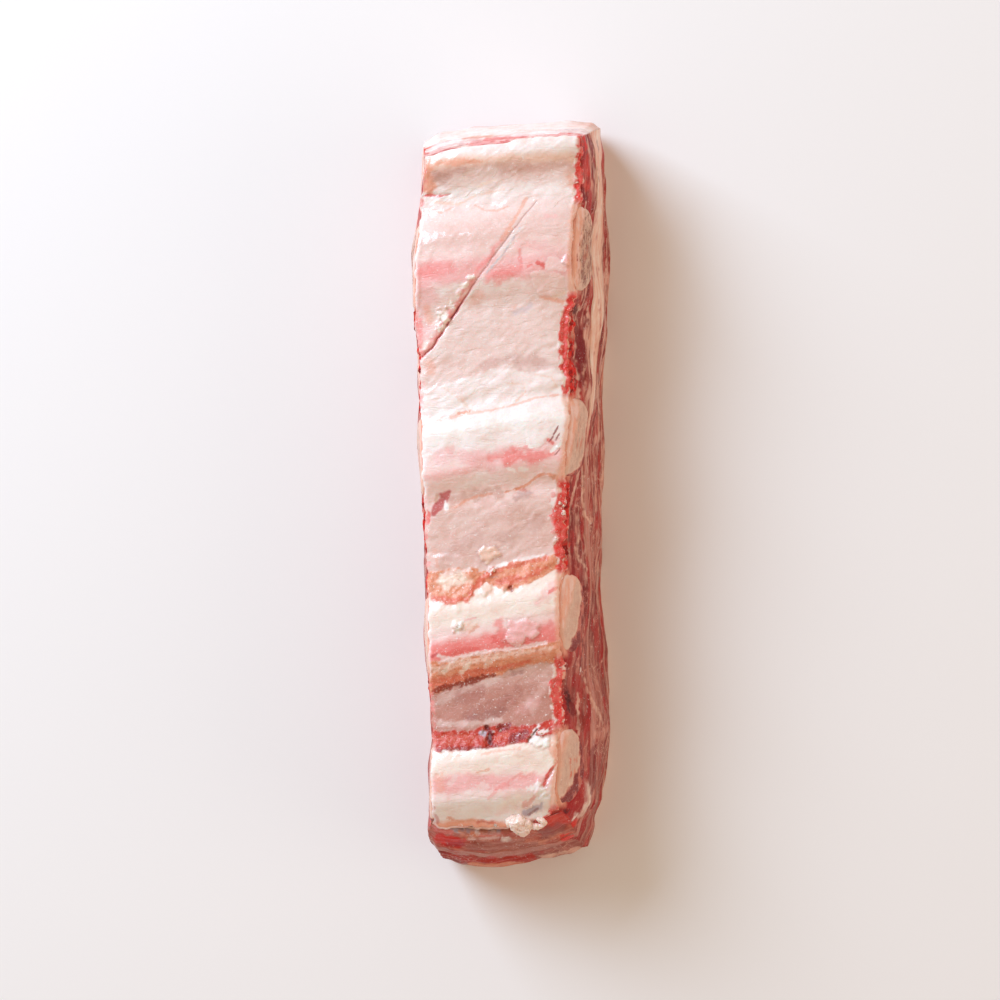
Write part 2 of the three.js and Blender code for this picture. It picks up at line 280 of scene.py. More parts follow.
def skinTop(x, y):
    skew = block["endSlant"] * x
    level = block["skinLevel"] + 0 * x
    for rib in ribs:
        level += rib["rise"] * block["ribRise"] * (1 - smooth(0.45, 1.3, np.abs(ribShare(rib, x, y))))
    for strip in fatStrips.values():
        level += strip["height"] * np.exp(-stripShare(strip, x, y) ** 2 * 1.2)
    hollow, lip = block["farHollow"], block["farLip"]
    level -= hollow["deep"] * hump(y, hollow["y"] + skew, hollow["half"]) * (1 - smooth(-30, 30, x) * 0.6)
    level += lip["high"] * hump(y, lip["y"] + skew, lip["half"])
    middle = (along(leftTopEdge, y) + along(rightTopEdge, y)) / 2
    level -= block["edgeDrop"] * np.minimum(1, np.abs(x - middle) / 25) ** 4
    return level - block["nearDrop"] * smooth(-104, -119, y)


def skinBottom(x, y):
    return skinTop(x, y) - block["skinThickness"]


def ribMeatBase(x, y):
    return 30.5 + 0.9 * np.sin(y / 17 + 0.8) + 0.6 * np.sin(x / 9 - y / 31) - 3 * smooth(-95, -122, y)


def seamBottom(x, y):
    thick = mix(1.8, 13, smooth(10, 105, y))
    return ribMeatBase(x, y) - thick - 0.5 - 0.5 * np.sin(y / 12 + x / 14)


def outerMeatBase(x, y):
    return 3 + 0.5 * np.sin(y / 19) + 0.4 * np.sin(x / 8 + y / 40)


def tableLevel(x, y):
    return 0 * x


# closed slices of the block
def bridge(a, b, faces, flip=False):  # joins two rows of vertices, also where one has more than the other
    if len(a) == len(b):
        for i in range(len(a) - 1):
            face = (a[i], a[i + 1], b[i + 1], b[i])
            faces.append(face[::-1] if flip else face)
        return
    i = j = 0
    while i < len(a) - 1 or j < len(b) - 1:
        stepA = j == len(b) - 1 or (i < len(a) - 1 and (i + 1) * (len(b) - 1) <= (j + 1) * (len(a) - 1))
        face = (a[i], a[i + 1], b[j]) if stepA else (a[i], b[j + 1], b[j])
        i, j = (i + 1, j) if stepA else (i, j + 1)
        faces.append(face[::-1] if flip else face)


def sliceGrid(size):  # rings round the strip and a grid on each end; vertices as across, lengthwise, down
    rows, wallRows = size["rows"], size["wallRows"]
    spots, faces = [], []

    def row(columns, lengthwise, down):
        start = len(spots)
        spots.extend((i / columns, lengthwise, down) for i in range(columns + 1))
        return list(range(start, len(spots)))

    def column(across, lengthwise, first, last):
        start = len(spots)
        spots.extend((across, lengthwise, k / wallRows) for k in range(1, wallRows))
        return [first, *range(start, len(spots)), last]

    def ring(lengthwise):
        top, bottom = row(size["columns"], lengthwise, 0), row(size["underColumns"], lengthwise, 1)
        return {
            "top": top,
            "bottom": bottom,
            "right": column(1, lengthwise, top[-1], bottom[-1]),
            "left": column(0, lengthwise, top[0], bottom[0]),
        }

    def endRing(lengthwise, flip):
        sheet = [row(size["endColumns"], lengthwise, k / wallRows) for k in range(wallRows + 1)]
        for upper, lower in zip(sheet, sheet[1:]):
            bridge(upper, lower, faces, flip)
        return {
            "top": sheet[0],
            "bottom": sheet[-1],
            "right": [line[-1] for line in sheet],
            "left": [line[0] for line in sheet],
        }

    rings = [endRing(0, True), *(ring(j / rows) for j in range(1, rows)), endRing(1, False)]
    for near, far in zip(rings, rings[1:]):
        bridge(near["top"], far["top"], faces)
        bridge(near["right"], far["right"], faces)
        bridge(near["bottom"], far["bottom"], faces, True)
        bridge(near["left"], far["left"], faces, True)
    return np.array(spots), faces


def placeSlice(spots, topLevel, bottomLevel):
    across, lengthwise, down = spots.T
    z = np.full(len(spots), block["skinLevel"])
    for _ in range(5):
        x, y = plan(across, lengthwise, z)
        z = mix(topLevel(x, y), bottomLevel(x, y), down)
    return np.stack([x, y, z], 1)


def makeMesh(name, points, faces):
    mesh = bpy.data.meshes.new(name)
    mesh.from_pydata((points + (*blockPlace, 0)) * mm, [], faces)
    mesh.shade_smooth()
    return mesh


def pointsOf(mesh):
    flat = np.empty(len(mesh.vertices) * 3)
    mesh.vertices.foreach_get("co", flat)
    return flat.reshape(-1, 3) / mm - (*blockPlace, 0)


def normalsOf(mesh):
    flat = np.empty(len(mesh.vertices) * 3)
    mesh.vertex_normals.foreach_get("vector", flat)
    return flat.reshape(-1, 3)


def movePoints(mesh, points):
    mesh.vertices.foreach_set("co", ((points + (*blockPlace, 0)) * mm).ravel())
    mesh.update()


def makeObject(name, mesh, material=None):
    mesh.name = name
    thing = bpy.data.objects.new(name, mesh)
    bpy.context.scene.collection.objects.link(thing)
    if material:
        mesh.materials.clear()
        mesh.materials.append(material)
    return thing


# the membrane's colours, from the near end to the far end: y at its left, y at its right, tone
skinBands = [
    # painted light: the white from -112 to -110 is lighter than the near edge's own blush, to undo the shade
    # where that edge rolls down away from the light
    (-114, -113, "blush"), (-112, -110, "white"), (-107.6, -104, "white"), (-104, -100, "blush"),
    (-102.5, -98.5, "pink"), (-98.5, -96, "pink"), (-95.5, -93, "cream"), (-88, -85, "cream"),
    (-83, -80, "taupe"), (-71, -66, "taupe"), (-62, -58, "dusk"), (-57, -52, "rose"), (-53.5, -46.5, "rose"),
    (-48.5, -41, "blush"), (-44.5, -37, "cream"), (-35, -26, "cream"), (-26, -20, "haze"), (-8, -3, "haze"),
    # the chalk from 21 to 28 lies on the second rib's far flank, which faces the light: partly its own pale
    # colour, partly painted highlight
    (-2, 2.5, "blush"), (3, 8, "blush"), (9, 14, "blush"), (16, 22, "white"), (21, 28, "chalk"),
    (26, 33, "white"), (37, 43, "veil"), (48, 52, "veil"), (64, 68, "veil"), (70, 75, "blush"),
    (74, 78, "pink"), (78, 81, "pink"), (83, 88, "blush"), (88, 97, "haze"), (98, 101, "veil"),
    # the haze from 112 to 114.5 lies on the far hollow's wall below the lip: partly its own colour, partly
    # painted shade
    (104, 107, "white"), (108, 111, "veil"), (112, 114.5, "haze"), (115.5, 117, "peach"),
    (118.6, 120.4, "white"),
]

# broad soft stains and fine marks: tone, strength, then points of x, y, half width
skinStains = [
    # far hollow: the mauve and dusk below the lip are partly its own colour, partly painted shade on the
    # hollow's wall
    ("salmon", 0.9, (-28.6, 115, 1.8), (-29.6, 108, 1.8)),
    ("salmon", 0.75, (-27, 115.8, 1), (-18, 115.6, 1), (-11, 116.2, 0.6)),
    ("mauve", 0.35, (-24, 110, 2.2), (-16.5, 113, 1.5)),
    ("dusk", 0.5, (-3, 113.5, 1.8), (6, 113.4, 1.4), (18, 115, 1.2)),
    ("mist", 0.75, (-18, 109.8, 1.7), (-8, 112.2, 1.6)), ("salmon", 0.5, (20, 112, 1), (21.4, 103, 1)),
    # around the slash and the first rib's near flank
    ("pink", 0.6, (-30, 71, 3), (-30.5, 56, 2.2)), ("rose", 0.5, (-31, 78, 2.6), (-22, 78.6, 2)),
    ("rose", 0.55, (-31, 77.4, 1.3), (-28, 77.2, 1.3)), ("rose", 0.55, (-7, 75.8, 1.7), (2.5, 78.4, 1.6)),
    ("rose", 0.5, (-4.5, 75.4, 1.4), (-1, 76.4, 1.2)), ("pink", 0.5, (3, 86, 1.4), (12, 87, 1.2)),
    ("white", 0.7, (-24, 70.6, 2), (-17.5, 73.4, 1.4)), ("salmon", 0.5, (-29.4, 65, 1.4), (-28.6, 61, 1.2)),
    ("rose", 0.7, (-33.6, 70, 0.9), (-32.8, 58, 0.9), (-31.6, 50, 0.7)),
    ("white", 0.6, (-7, 71.6, 1.8), (2, 72.6, 1.8)), ("salmon", 0.35, (-14, 67.4, 1.4), (-11, 69.4, 1.2)),
    ("pink", 0.5, (12, 96.4, 0.8), (15, 96.8, 0.7)),
    # between the first two ribs
    ("lilac", 0.35, (1, 63.4, 0.9), (6.5, 66, 0.7)), ("salmon", 0.35, (0.5, 65.8, 1)),
    ("mist", 0.45, (12, 59, 2.6), (13, 51, 2.8)), ("mauve", 0.3, (-9.3, 45.4, 1.3), (-1.5, 47.6, 1.2)),
    ("mauve", 0.3, (1.5, 46.6, 1.8), (15, 45.6, 1.9)), ("salmon", 0.45, (-29.6, 46, 1.5), (-28, 43.4, 1.2)),
    ("mist", 0.35, (-22, 53, 3), (-10, 62, 2.4)),
    # second rib
    ("pink", 0.55, (-24, 14, 2.4), (-12, 13.6, 1.8)), ("rose", 0.3, (-30, 6.4, 1.4), (-14, 9, 1)),
    ("rose", 0.25, (-21, 16, 1.2)), ("pink", 0.7, (-14, 13, 2.2), (0, 12.6, 3.2), (14, 14.6, 2.4)),
    ("rose", 0.85, (-7, 13.2, 1.2), (2, 13.2, 1.9), (8, 13.4, 1.8), (14.4, 14.8, 1.1)),
    ("rose", 0.6, (1, 16, 1), (6, 16.4, 0.8)), ("white", 0.6, (-17.6, 4.4, 1.5), (-9, 6, 1.4)),
    ("mist", 0.5, (-4, 6.6, 1.5), (3, 5.6, 1.4)), ("blush", 0.7, (8, 9.6, 1.2), (15, 11.4, 1)),
    ("dusk", 0.6, (-20, -2, 1.5), (-12, 0.6, 1.7), (-5, 1.4, 1.4)),
    ("plum", 0.35, (1.5, -0.4, 1.1), (5, 1, 1)), ("salmon", 0.3, (-21, -4.4, 1.2), (-16, -1.8, 1)),
    # between the second and third rib
    ("dusk", 0.4, (-10, -8, 3), (8, -6, 3)), ("mauve", 0.22, (-22, -20, 2), (-12, -14, 2)),
    ("mauve", 0.22, (-4, -15, 2), (8, -9, 2)), ("veil", 0.5, (-20, -10, 2), (-10, -6, 1.6)),
    ("salmon", 0.35, (-26.6, -19, 1), (-26.2, -24, 1)),
    # third rib
    ("rose", 0.6, (-27, -54, 1.4), (-18, -53, 1.8), (-9, -50.8, 1.8)),
    ("red", 0.5, (-25, -55, 1), (-12, -52.4, 1)), ("red", 0.55, (-4.8, -49, 1.3), (-1.2, -48.6, 1.5)),
    ("rose", 0.7, (-3.5, -44.6, 1.4), (-2, -48, 1.6)),
    ("red", 0.4, (4.6, -50, 1.2), (10, -46.6, 1.4), (13.4, -43.6, 1)),
    ("pink", 0.55, (10, -36, 1.6), (15, -31, 1.6)), ("peach", 0.6, (-9, -31.4, 1.3), (-7, -34, 0.8)),
    # between the third and fourth rib
    ("mist", 0.4, (-25, -71, 2), (-16, -66.2, 1.4), (-5, -63.4, 1)),
    ("mauve", 0.75, (-18, -70, 1.8), (-11, -68, 1.8)),
    ("mauve", 0.75, (-16, -75.6, 1.6), (-6, -72.4, 2.2), (2, -67.6, 1.9)),
    ("plum", 0.4, (-14, -77, 1), (-3, -74.4, 1.3)),
    ("mist", 0.5, (-25, -79.2, 0.9), (-14, -78.8, 0.8), (-4, -77.4, 0.7)),
    ("blush", 0.35, (7, -72, 1.8), (12, -64, 1.8)), ("pink", 0.3, (2, -74, 1.6), (9, -70, 1.6)),
    # fourth rib and near edge
    ("pink", 0.6, (-24, -99.6, 2.4), (-15, -98.6, 2.6)), ("salmon", 0.4, (-24.8, -97, 1), (-24.8, -101, 1.2)),
    ("blush", 0.6, (-3, -95, 1.2), (5, -93.6, 1)), ("rose", 0.45, (4, -97, 0.9), (8.4, -95.8, 1)),
    ("mist", 0.8, (15, -95, 1.3), (14.6, -104, 1.7)), ("blush", 0.6, (-5, -110, 0.9), (2, -107, 1)),
    ("white", 0.5, (-20, -106, 1.6), (-8, -105, 1.4)), ("cream", 0.7, (-3, -107, 1), (3, -104.4, 1)),
]
skinMarks = [
    ("butter", 0.7, (-12.4, 107.4, 0.5), (-6, 109.6, 0.4)),
    ("red", 0.85, (-30.4, 104.6, 0.35), (-25, 104.3, 0.4), (-21.8, 104.9, 0.2)),
    ("salmon", 0.55, (-29.6, 99.3, 0.5), (-25, 98.5, 0.35), (-20.9, 100, 0.25)),
    ("salmon", 0.6, (-13.1, 101, 0.25), (-9.5, 99, 0.35), (-5, 98.9, 0.3), (-1.5, 100.4, 0.25)),
    ("peach", 0.7, (-27, 102.2, 0.4), (-19, 101.2, 0.4), (-13, 104.2, 0.35)),
    ("peach", 0.7, (-12, 104.4, 0.4), (-3, 106.4, 0.35)),
    ("salmon", 0.6, (4.9, 103.4, 0.45), (-0.5, 92.6, 0.6), (-3.4, 88.4, 0.5)),
    ("lilac", 0.7, (3.1, 92.6, 0.25), (-2.6, 83.6, 0.3), (-8.6, 77.2, 0.25)),
    ("rose", 0.65, (3, 85, 0.4), (3.4, 79, 0.6)), ("red", 0.8, (9, 80.4, 0.6), (11.3, 79.2, 0.9)),
    ("rose", 0.8, (5.8, 79, 0.35), (7.3, 80, 0.35), (8, 78.6, 0.3)),
    ("salmon", 0.7, (10, 68.8, 0.5), (15.6, 67.8, 0.7), (19, 66.8, 0.6)),
    ("butter", 0.7, (14.6, 69, 0.6), (18.8, 70.4, 0.5)),
    # the pale strip and the second rib
    ("salmon", 0.55, (-31, 24.6, 0.5), (-22, 27.2, 0.5), (-13, 28.9, 0.45), (-7, 29.7, 0.4), (2, 31.8, 0.35),
     (8, 33.9, 0.3), (16, 35, 0.3)), ("orange", 0.8, (-18.4, 28.6, 0.5), (-14.6, 29.4, 0.5)),
    ("peach", 0.7, (-2.5, 39.2, 0.3), (3.8, 38.7, 0.3), (4.8, 36, 0.3), (1.6, 33, 0.3)),
    ("peach", 0.6, (8, 42.2, 0.3), (13.6, 41.2, 0.3), (15.8, 37.4, 0.3)),
    ("peach", 0.5, (-24, 37.6, 0.4), (-17, 33, 0.4), (-15, 30.6, 0.4)),
    ("chalk", 0.9, (8.5, 27, 0.5), (6.4, 23.6, 0.5), (5.5, 20, 0.5), (6.5, 17.3, 0.5), (10, 17.6, 0.4)),
    ("red", 0.75, (12.6, 19.4, 0.7), (14.2, 18.2, 0.6)),
    ("blood", 0.85, (16.2, 23.9, 0.22), (14.7, 21.2, 0.32)),
    ("blood", 0.8, (14.7, 20.6, 0.3), (13.2, 18.8, 0.26)),
    ("blood", 0.75, (16.6, 21.5, 0.24), (15.4, 19.3, 0.24)),
    ("chalk", 1, (17.8, 18.8, 0.4), (16, 17, 0.5), (13.8, 15.3, 0.4)),
    ("blood", 0.7, (16.8, 16, 0.22), (15.2, 14.3, 0.22)), ("chalk", 0.8, (-0.8, 9.4, 0.5), (1.2, 8.8, 0.4)),
    ("chalk", 0.8, (3.6, 9.3, 0.7), (5.6, 9.2, 0.5)),
    ("orange", 0.55, (-20, -4, 0.4), (-16, -1.4, 0.35), (-12, 0, 0.35), (-7, 0.8, 0.3)),
    ("rust", 0.5, (1.5, 2.4, 0.6), (4.6, 2, 0.5)),
    ("orange", 0.8, (-2, 1.5, 0.3), (4, 3.2, 0.35), (6.7, 5.2, 0.45), (10, 7.2, 0.5), (12.6, 7.7, 0.5),
     (15.4, 6.1, 0.7), (17.4, 3.8, 0.9)),
    ("salmon", 0.8, (18.6, 15.7, 0.45), (17.9, 9, 0.45), (17.4, 3.8, 0.6)),
    ("crimson", 0.8, (-21.5, 1.6, 0.8), (-24, -0.8, 1.6), (-26, -3.2, 1.3), (-27.4, -5.8, 0.8)),
    ("chalk", 0.9, (-23.3, -1.8, 0.3), (-22.8, -4.2, 0.6)),
    ("red", 0.75, (-29.4, -5.5, 0.6), (-29.2, -9, 0.6)),
    # the mixed strip
    ("butter", 0.9, (-21.6, -29.4, 2.8), (-17.6, -28.8, 2.8)),
    ("white", 0.5, (-23, -26.6, 0.8), (-15, -25.4, 0.7)),
    ("rust", 0.9, (-27, -35.6, 0.9), (-21, -36.3, 0.9), (-15.6, -35.4, 1.1), (-13.9, -34, 0.9)),
    ("rust", 0.9, (-14.2, -33.6, 0.9), (-11, -29.4, 1), (-7.5, -26.8, 0.9)),
    ("brown", 0.8, (-0.6, -31.6, 0.7), (0.2, -32.6, 0.6)),
    ("rust", 0.75, (-7, -26, 0.9), (-2, -24.6, 0.8), (12, -21.4, 0.7)),
    ("rust", 0.8, (-5, -29.6, 1), (4, -28.4, 1.2), (12, -24.8, 0.9)),
    ("plum", 0.4, (-8, -28.2, 0.4), (-4.6, -27.8, 0.4)),
    ("chalk", 0.85, (-7.7, -26, 0.5), (-5, -24.4, 0.7), (-2.2, -23.6, 0.7)),
    ("chalk", 0.7, (-25.4, -37, 0.5), (-23.8, -37.2, 0.4)),
    ("white", 0.8, (1, -22.2, 0.4), (6, -21.4, 0.4), (11, -20.2, 0.4)),
    # the third rib
    ("red", 0.65, (13, -33.2, 0.4), (14.2, -32.4, 0.5), (16, -31.8, 0.4)),
    ("chalk", 1, (-18.6, -46.2, 0.8), (-17.4, -44.4, 0.7)),
    ("salmon", 0.6, (-14.4, -47, 0.5), (-11.4, -45, 0.5)), ("pink", 0.8, (-16, -42.8, 0.3), (-12, -42, 0.3)),
    ("mist", 0.8, (-24.6, -55.4, 1), (-20, -56.4, 0.9)),
    ("crimson", 0.6, (-27.4, -55.4, 0.5), (-25.6, -54.4, 0.5)),
    # the rusty strip
    ("peach", 0.7, (-26, -60, 1.4), (-13, -56.8, 1.2), (2, -54.4, 0.9), (14, -52.4, 0.7)),
    ("blush", 0.85, (-25, -57.4, 0.6), (-13, -54.4, 0.6), (2, -52.4, 0.7), (12, -50.6, 0.5)),
    ("rust", 0.75, (-27, -65.6, 1.6), (-18, -62.6, 1.4), (-10, -60.8, 1.1), (-3, -59.6, 0.8), (6, -57, 0.6)),
    ("brown", 0.9, (-27.4, -67.6, 0.8), (-20, -65.2, 0.8), (-16, -64.4, 1), (-10, -62.8, 0.7),
     (-6, -61.8, 0.4)), ("butter", 0.7, (-23.4, -60.8, 0.7), (-21.4, -58, 0.5)),
    ("butter", 0.7, (-17.4, -60.4, 0.8), (-14.4, -57.2, 0.6)),
    ("butter", 0.5, (-9, -58.4, 0.8), (-5, -55.4, 0.6)), ("plum", 0.45, (0.4, -61.2, 1.1), (3, -60.6, 1.1)),
    ("salmon", 0.6, (2, -56, 1), (12, -53.8, 0.9)),
    # the bloody strip
    ("rust", 0.35, (-24, -84.5, 1.7), (-14, -83.8, 1.5)),
    ("maroon", 0.95, (-8.8, -80.2, 0.8), (-7.2, -82.4, 0.7), (-7.8, -84.8, 1)),
    ("dark", 0.8, (-7.8, -82.4, 0.4), (-7.6, -85.6, 0.6)),
    ("lilac", 0.9, (-9.4, -82.6, 0.9), (-11, -82, 0.6)), ("blood", 0.85, (-4, -80, 0.9), (-1.2, -79.4, 0.8)),
    ("blood", 0.8, (0.6, -84, 1.3), (5, -81.4, 1.1)),
    ("blood", 0.6, (-25.4, -87.8, 0.6), (-14, -87.2, 0.5), (-5, -86.4, 0.5)),
    ("rust", 0.6, (-4.6, -83.6, 0.8), (-1.6, -82.4, 0.7)),
    ("chalk", 0.95, (9.2, -79.4, 0.5), (7.2, -82.6, 0.5)),
    ("chalk", 0.95, (9.6, -81.5, 0.5), (12.2, -81.2, 0.6)),
    ("dark", 0.85, (6, -84.2, 0.3), (8.7, -80.6, 0.3)), ("dark", 0.75, (8, -82.5, 0.25), (11, -83, 0.22)),
    ("red", 0.65, (12, -78.8, 0.9), (14, -78.2, 0.8)),
    ("chalk", 0.8, (-23.8, -88.4, 0.5), (-22.6, -88.6, 0.4)),
    ("mist", 0.8, (-17.4, -88.2, 0.5), (-15.8, -88.2, 0.4)),
    ("salmon", 0.5, (-10, -89, 0.4), (-4, -87.8, 0.4), (3, -87.2, 0.4)),
    # the fourth rib
    ("orange", 0.6, (-12, -95.4, 0.3), (-9, -94.6, 0.5), (-7.6, -94.3, 0.4)),
    ("rose", 0.5, (-5, -101, 0.6), (-1.5, -99.3, 0.8)), ("rose", 0.4, (-8, -104.4, 0.4), (-5, -101.4, 0.5)),
    ("rose", 0.45, (-1, -98.6, 0.4), (4, -95.4, 0.4)), ("white", 0.4, (-21.2, -99.4, 0.8), (-19.6, -97, 0.9)),
    ("white", 0.45, (-14.5, -102.6, 1.2), (-9.5, -99.8, 1.1)),
    ("chalk", 0.8, (6.5, -101, 0.8), (9.5, -99.2, 0.8)), ("chalk", 0.85, (11, -101, 0.9), (12, -105.6, 1.1)),
    ("red", 0.9, (16, -91.6, 0.35), (12.8, -95.4, 0.4), (11.3, -99.8, 0.5)),
    ("salmon", 0.6, (13.6, -86, 1), (16, -90, 1)),
    ("orange", 0.7, (-22.6, -111.4, 0.4), (-18.6, -112.8, 0.5), (-13, -112.4, 0.5), (-7.6, -113, 0.5)),
    ("brick", 0.5, (-12, -112.8, 0.6), (-6, -113, 0.6)), ("rust", 0.5, (4.4, -107, 0.8), (7.8, -104, 0.7)),
    ("lilac", 0.95, (5, -109.4, 1.1), (8.6, -107.6, 1.4)),
    ("mist", 0.9, (4.8, -108.4, 0.25), (7.6, -106.2, 0.25)),
    ("plum", 0.7, (5.6, -110.2, 0.25), (8.8, -108, 0.25)),
    ("crimson", 0.5, (-27.6, -108, 0.8), (-26.8, -112.4, 0.9)),
]
# raised and sunken spots: height, then points of x, y, half width
skinLumps = [
    (0.6, (-21.6, 66.4, 0.9), (-20.2, 65.4, 0.7)), (1.0, (-24.6, 62.8, 1.1), (-22.8, 61.4, 0.9)),
    (0.4, (-25.4, 58, 0.7), (-23.8, 58.6, 0.5)), (0.5, (-14.4, 75.4, 0.5), (-13, 75.8, 0.5)),
    (0.45, (-16.8, 72.4, 0.7), (-15.4, 73.4, 0.5)), (0.5, (-18.8, 69.4, 0.7), (-17.6, 70.6, 0.5)),
    (0.7, (18.6, 80.8, 1.1)), (0.6, (-20, -30, 4.6)), (0.9, (-18, -45.3, 1.2)), (0.5, (-9, -31.6, 1.5)),
    (-0.8, (-8.6, -80.4, 0.8), (-7.4, -84.8, 1)), (-1.1, (6, -84.4, 0.4), (8.7, -80.6, 0.4)),
    (0.7, (-6.6, -25.4, 0.7)), (-0.8, (-0.6, -32, 0.8)), (0.6, (-10, -82.4, 0.8)), (0.5, (16, 17.2, 0.6)),
    (-0.35, (-30.4, 104.6, 0.4), (-22, 104.8, 0.3)), (0.5, (10, -100, 1.4), (11.6, -105, 1.4)),
    (0.4, (6.8, -108.4, 2)), (-0.6, (15.8, -91.8, 0.4), (11.3, -99.8, 0.5)), (-0.5, (-25, -2.2, 1.4)),
    (0.35, (10, 7.4, 0.5), (15.4, 6.2, 0.6)),
]
# thin scraps of fat that lie on the membrane: outline, thickness and tone
scraps = [
    {
        "outline": [(6.2, 77.3), (11.5, 77.6), (18, 76.4), (18.6, 70.6), (14, 69.4), (8.8, 69.8),
                    (7.6, 72.5)],
        "thick": 0.4, "tone": "blush",
    },
    {
        "outline": [(11.8, 78.2), (12.4, 82.4), (16, 83), (19.5, 80.4), (19, 77.4)],
        "thick": 0.3, "tone": "blush",
    },
    {
        "outline": [(6.4, 25.4), (9.4, 26), (14.6, 24.6), (13.2, 21), (11.6, 17.6), (8.4, 16.6), (5.6, 18.6),
                    (5.2, 22)],
        "thick": 0.25, "tone": "white",
    },
    {
        "outline": [(-11.6, -18.5), (-9.7, -17.5), (-5.8, -17.5), (-3.9, -20.5), (-6.8, -21.4), (-8.5, -23),
                    (-10.9, -22.6)],
        "thick": 0.8, "tone": "peach",
    },
    {
        "outline": [(-1, -43.2), (5.8, -42.7), (10.2, -44.2), (9.7, -47), (7.3, -49), (4.8, -47.6),
                    (3.9, -51.9), (1, -51.9), (-1, -50.5), (-3.4, -50), (-1.4, -47.6)],
        "thick": 0.75, "tone": "pink",
    },
    {
        "outline": [(-17, -44), (-14.6, -43.6), (-11.4, -44.2), (-13.6, -46.4), (-16.4, -47)],
        "thick": 0.3, "tone": "peach",
    },
    {
        "outline": [(5.3, -83.2), (8.2, -82.8), (12.6, -83.4), (12.8, -86.4), (8, -86.2), (5.4, -85)],
        "thick": 0.8, "tone": "chalk",
    },
]
# the knife slash, from its deep near end to its hairline far end: x, y, half width
slash = {
    "line": [
        (-32, 48.4, 0.35), (-27.9, 51.3, 0.4), (-24.4, 57, 0.5), (-20.4, 62.9, 0.6), (-16.4, 68.6, 0.4),
        (-11.2, 75.6, 0.34), (-4.9, 84.3, 0.3), (-1.5, 88.6, 0.28), (3.3, 95.4, 0.25), (8.4, 102.2, 0.22),
    ],
    "depth": 0.75,  # where it gapes
    "hairline": 0.25,
}


def scrapReach(scrap, x, y):  # how far inside a scrap's outline, in millimetres
    corners = scrap["outline"]
    ring = [(*corner, 1) for corner in [*corners, corners[0]]]
    away = reach(x, y, ring)
    near = away < 3
    inside = np.zeros(np.shape(x), bool)
    for (ax, ay, _), (bx, by, _) in zip(ring, ring[1:]):
        crossing = x < (bx - ax) * (y - ay) / (by - ay if by != ay else 1e-9) + ax
        inside ^= ((ay > y) != (by > y)) & crossing
    away = np.where(inside, away, -away)
    nearX, nearY = x[near], y[near]
    away[near] += 0.7 * noise(nearX, nearY, 0, 1.9, len(corners)) + 0.35 * noise(nearX, nearY, 0, 0.8, 3)
    return away


def edgeZones(x, y):  # how far in from the right and left top edges, and 1 between two ribs
    fromRight = along(rightTopEdge, y) - x
    fromLeft = x - along(leftTopEdge, y)
    nearest = np.min([np.abs(ribShare(rib, x, y)) for rib in ribs], axis=0)
    return fromRight, fromLeft, smooth(0.95, 1.2, nearest)


def slashSide(x, y):  # distance to the right of the slash, and 1 beside it
    row = sorted((py, px) for px, py, _ in slash["line"])
    slope = along(row, y + 1) - along(row, y - 1)
    return (x - along(row, y)) / np.hypot(1, slope / 2), smooth(103, 100, y) * smooth(47, 49, y)


def slashCut(x, y):  # distance from the slash, counted in half widths, and 1 where it gapes
    return reach(x + 0.3 * noise(x, y, 0, 1.8, 64), y, slash["line"]), smooth(80, 64, y)


def skinRelief(x, y):  # fine heights on top of skinTop
    fromRight, fromLeft, between = edgeZones(x, y)
    turn = math.radians(36)
    run, rise = x * math.cos(turn) + y * math.sin(turn), y * math.cos(turn) - x * math.sin(turn)
    rise = rise + 1.2 * noise(x, y, 0, 8, 40)
    crumbly = sum(s["crumbly"] * (1 - smooth(0.85, 1.1, stripShare(s, x, y))) for s in fatStrips.values())
    calm = 1 - np.clip(crumbly, 0, 1)
    lift = 0.3 * noise(x, y, 0, 9, 41) + 0.14 * noise(x, y, 0, 4, 42) + 0.05 * noise(x, y, 0, 1.7, 43)
    wrinkles = 0.5 * noise(run, rise, 0, (5, 2, 1), 44) + 0.3 * ridges(run, rise, 0, (4, 1.6, 1), 45)
    lift += (0.05 + 0.16 * between * calm) * wrinkles + 0.03 * noise(run, rise, 0, (2, 0.8, 1), 46)
    lift += crumbly * (0.5 * cloud(x, y, 0, 2.4, 50) + 0.2 * ridges(x, y, 0, (1.6, 1, 1), 51))
    onPale = 1 - smooth(0.8, 1.05, stripShare(fatStrips["pale"], x, y))
    lift += onPale * 0.25 * noise(run, rise, 0, (5, 3, 1), 52)
    for n, (height, *points) in enumerate(skinLumps):
        lift += height * strokeMask(x, y, points, 600 + 5 * n, 0.7, 0.9)
    for scrap in scraps:
        away = scrapReach(scrap, x, y)
        lift += smooth(-0.5, 0.8, away) * scrap["thick"] ** 1.5 * (0.8 + 0.3 * noise(x, y, 0, 1.6, 60))
    side, beside = slashSide(x, y)
    cut, gape = slashCut(x, y)
    lift -= np.clip(1.15 - cut, 0, 1) ** 0.8 * mix(slash["hairline"], slash["depth"], gape ** 1.5)
    lift += beside * hump(side, 1.3, 0.6) * smooth(98, 90, y) * smooth(66, 78, y) * 0.04
    lift += beside * hump(side, -1.4, 0.7) * gape * (0.12 + 0.3 * noise(x, y, 0, 1.6, 65))
    lift -= beside * hump(side, 2.6, 0.35) * smooth(95, 91, y) * smooth(74, 78, y) * 0.1
    torn = smooth(2.0, 0.3, fromRight) * between
    lift += torn * 0.35 * cloud(x, y, 0, 1.5, 70) + smooth(2.2, 0.4, fromLeft) * 0.2 * cloud(x, y, 0, 2.4, 71)
    for inset in (fromRight, fromLeft):  # rounded edges
        t = np.clip(1 - inset / 1.6, 0, 1)
        lift -= 1.0 * (1 - np.sqrt(1 - 0.96 * t * t))
    hollow = hump(y, 110 + block["endSlant"] * x, 5) * smooth(14, -4, x)
    return lift + hollow * 0.12 * ridges(run, rise, 0, (5, 1.4, 1), 80)


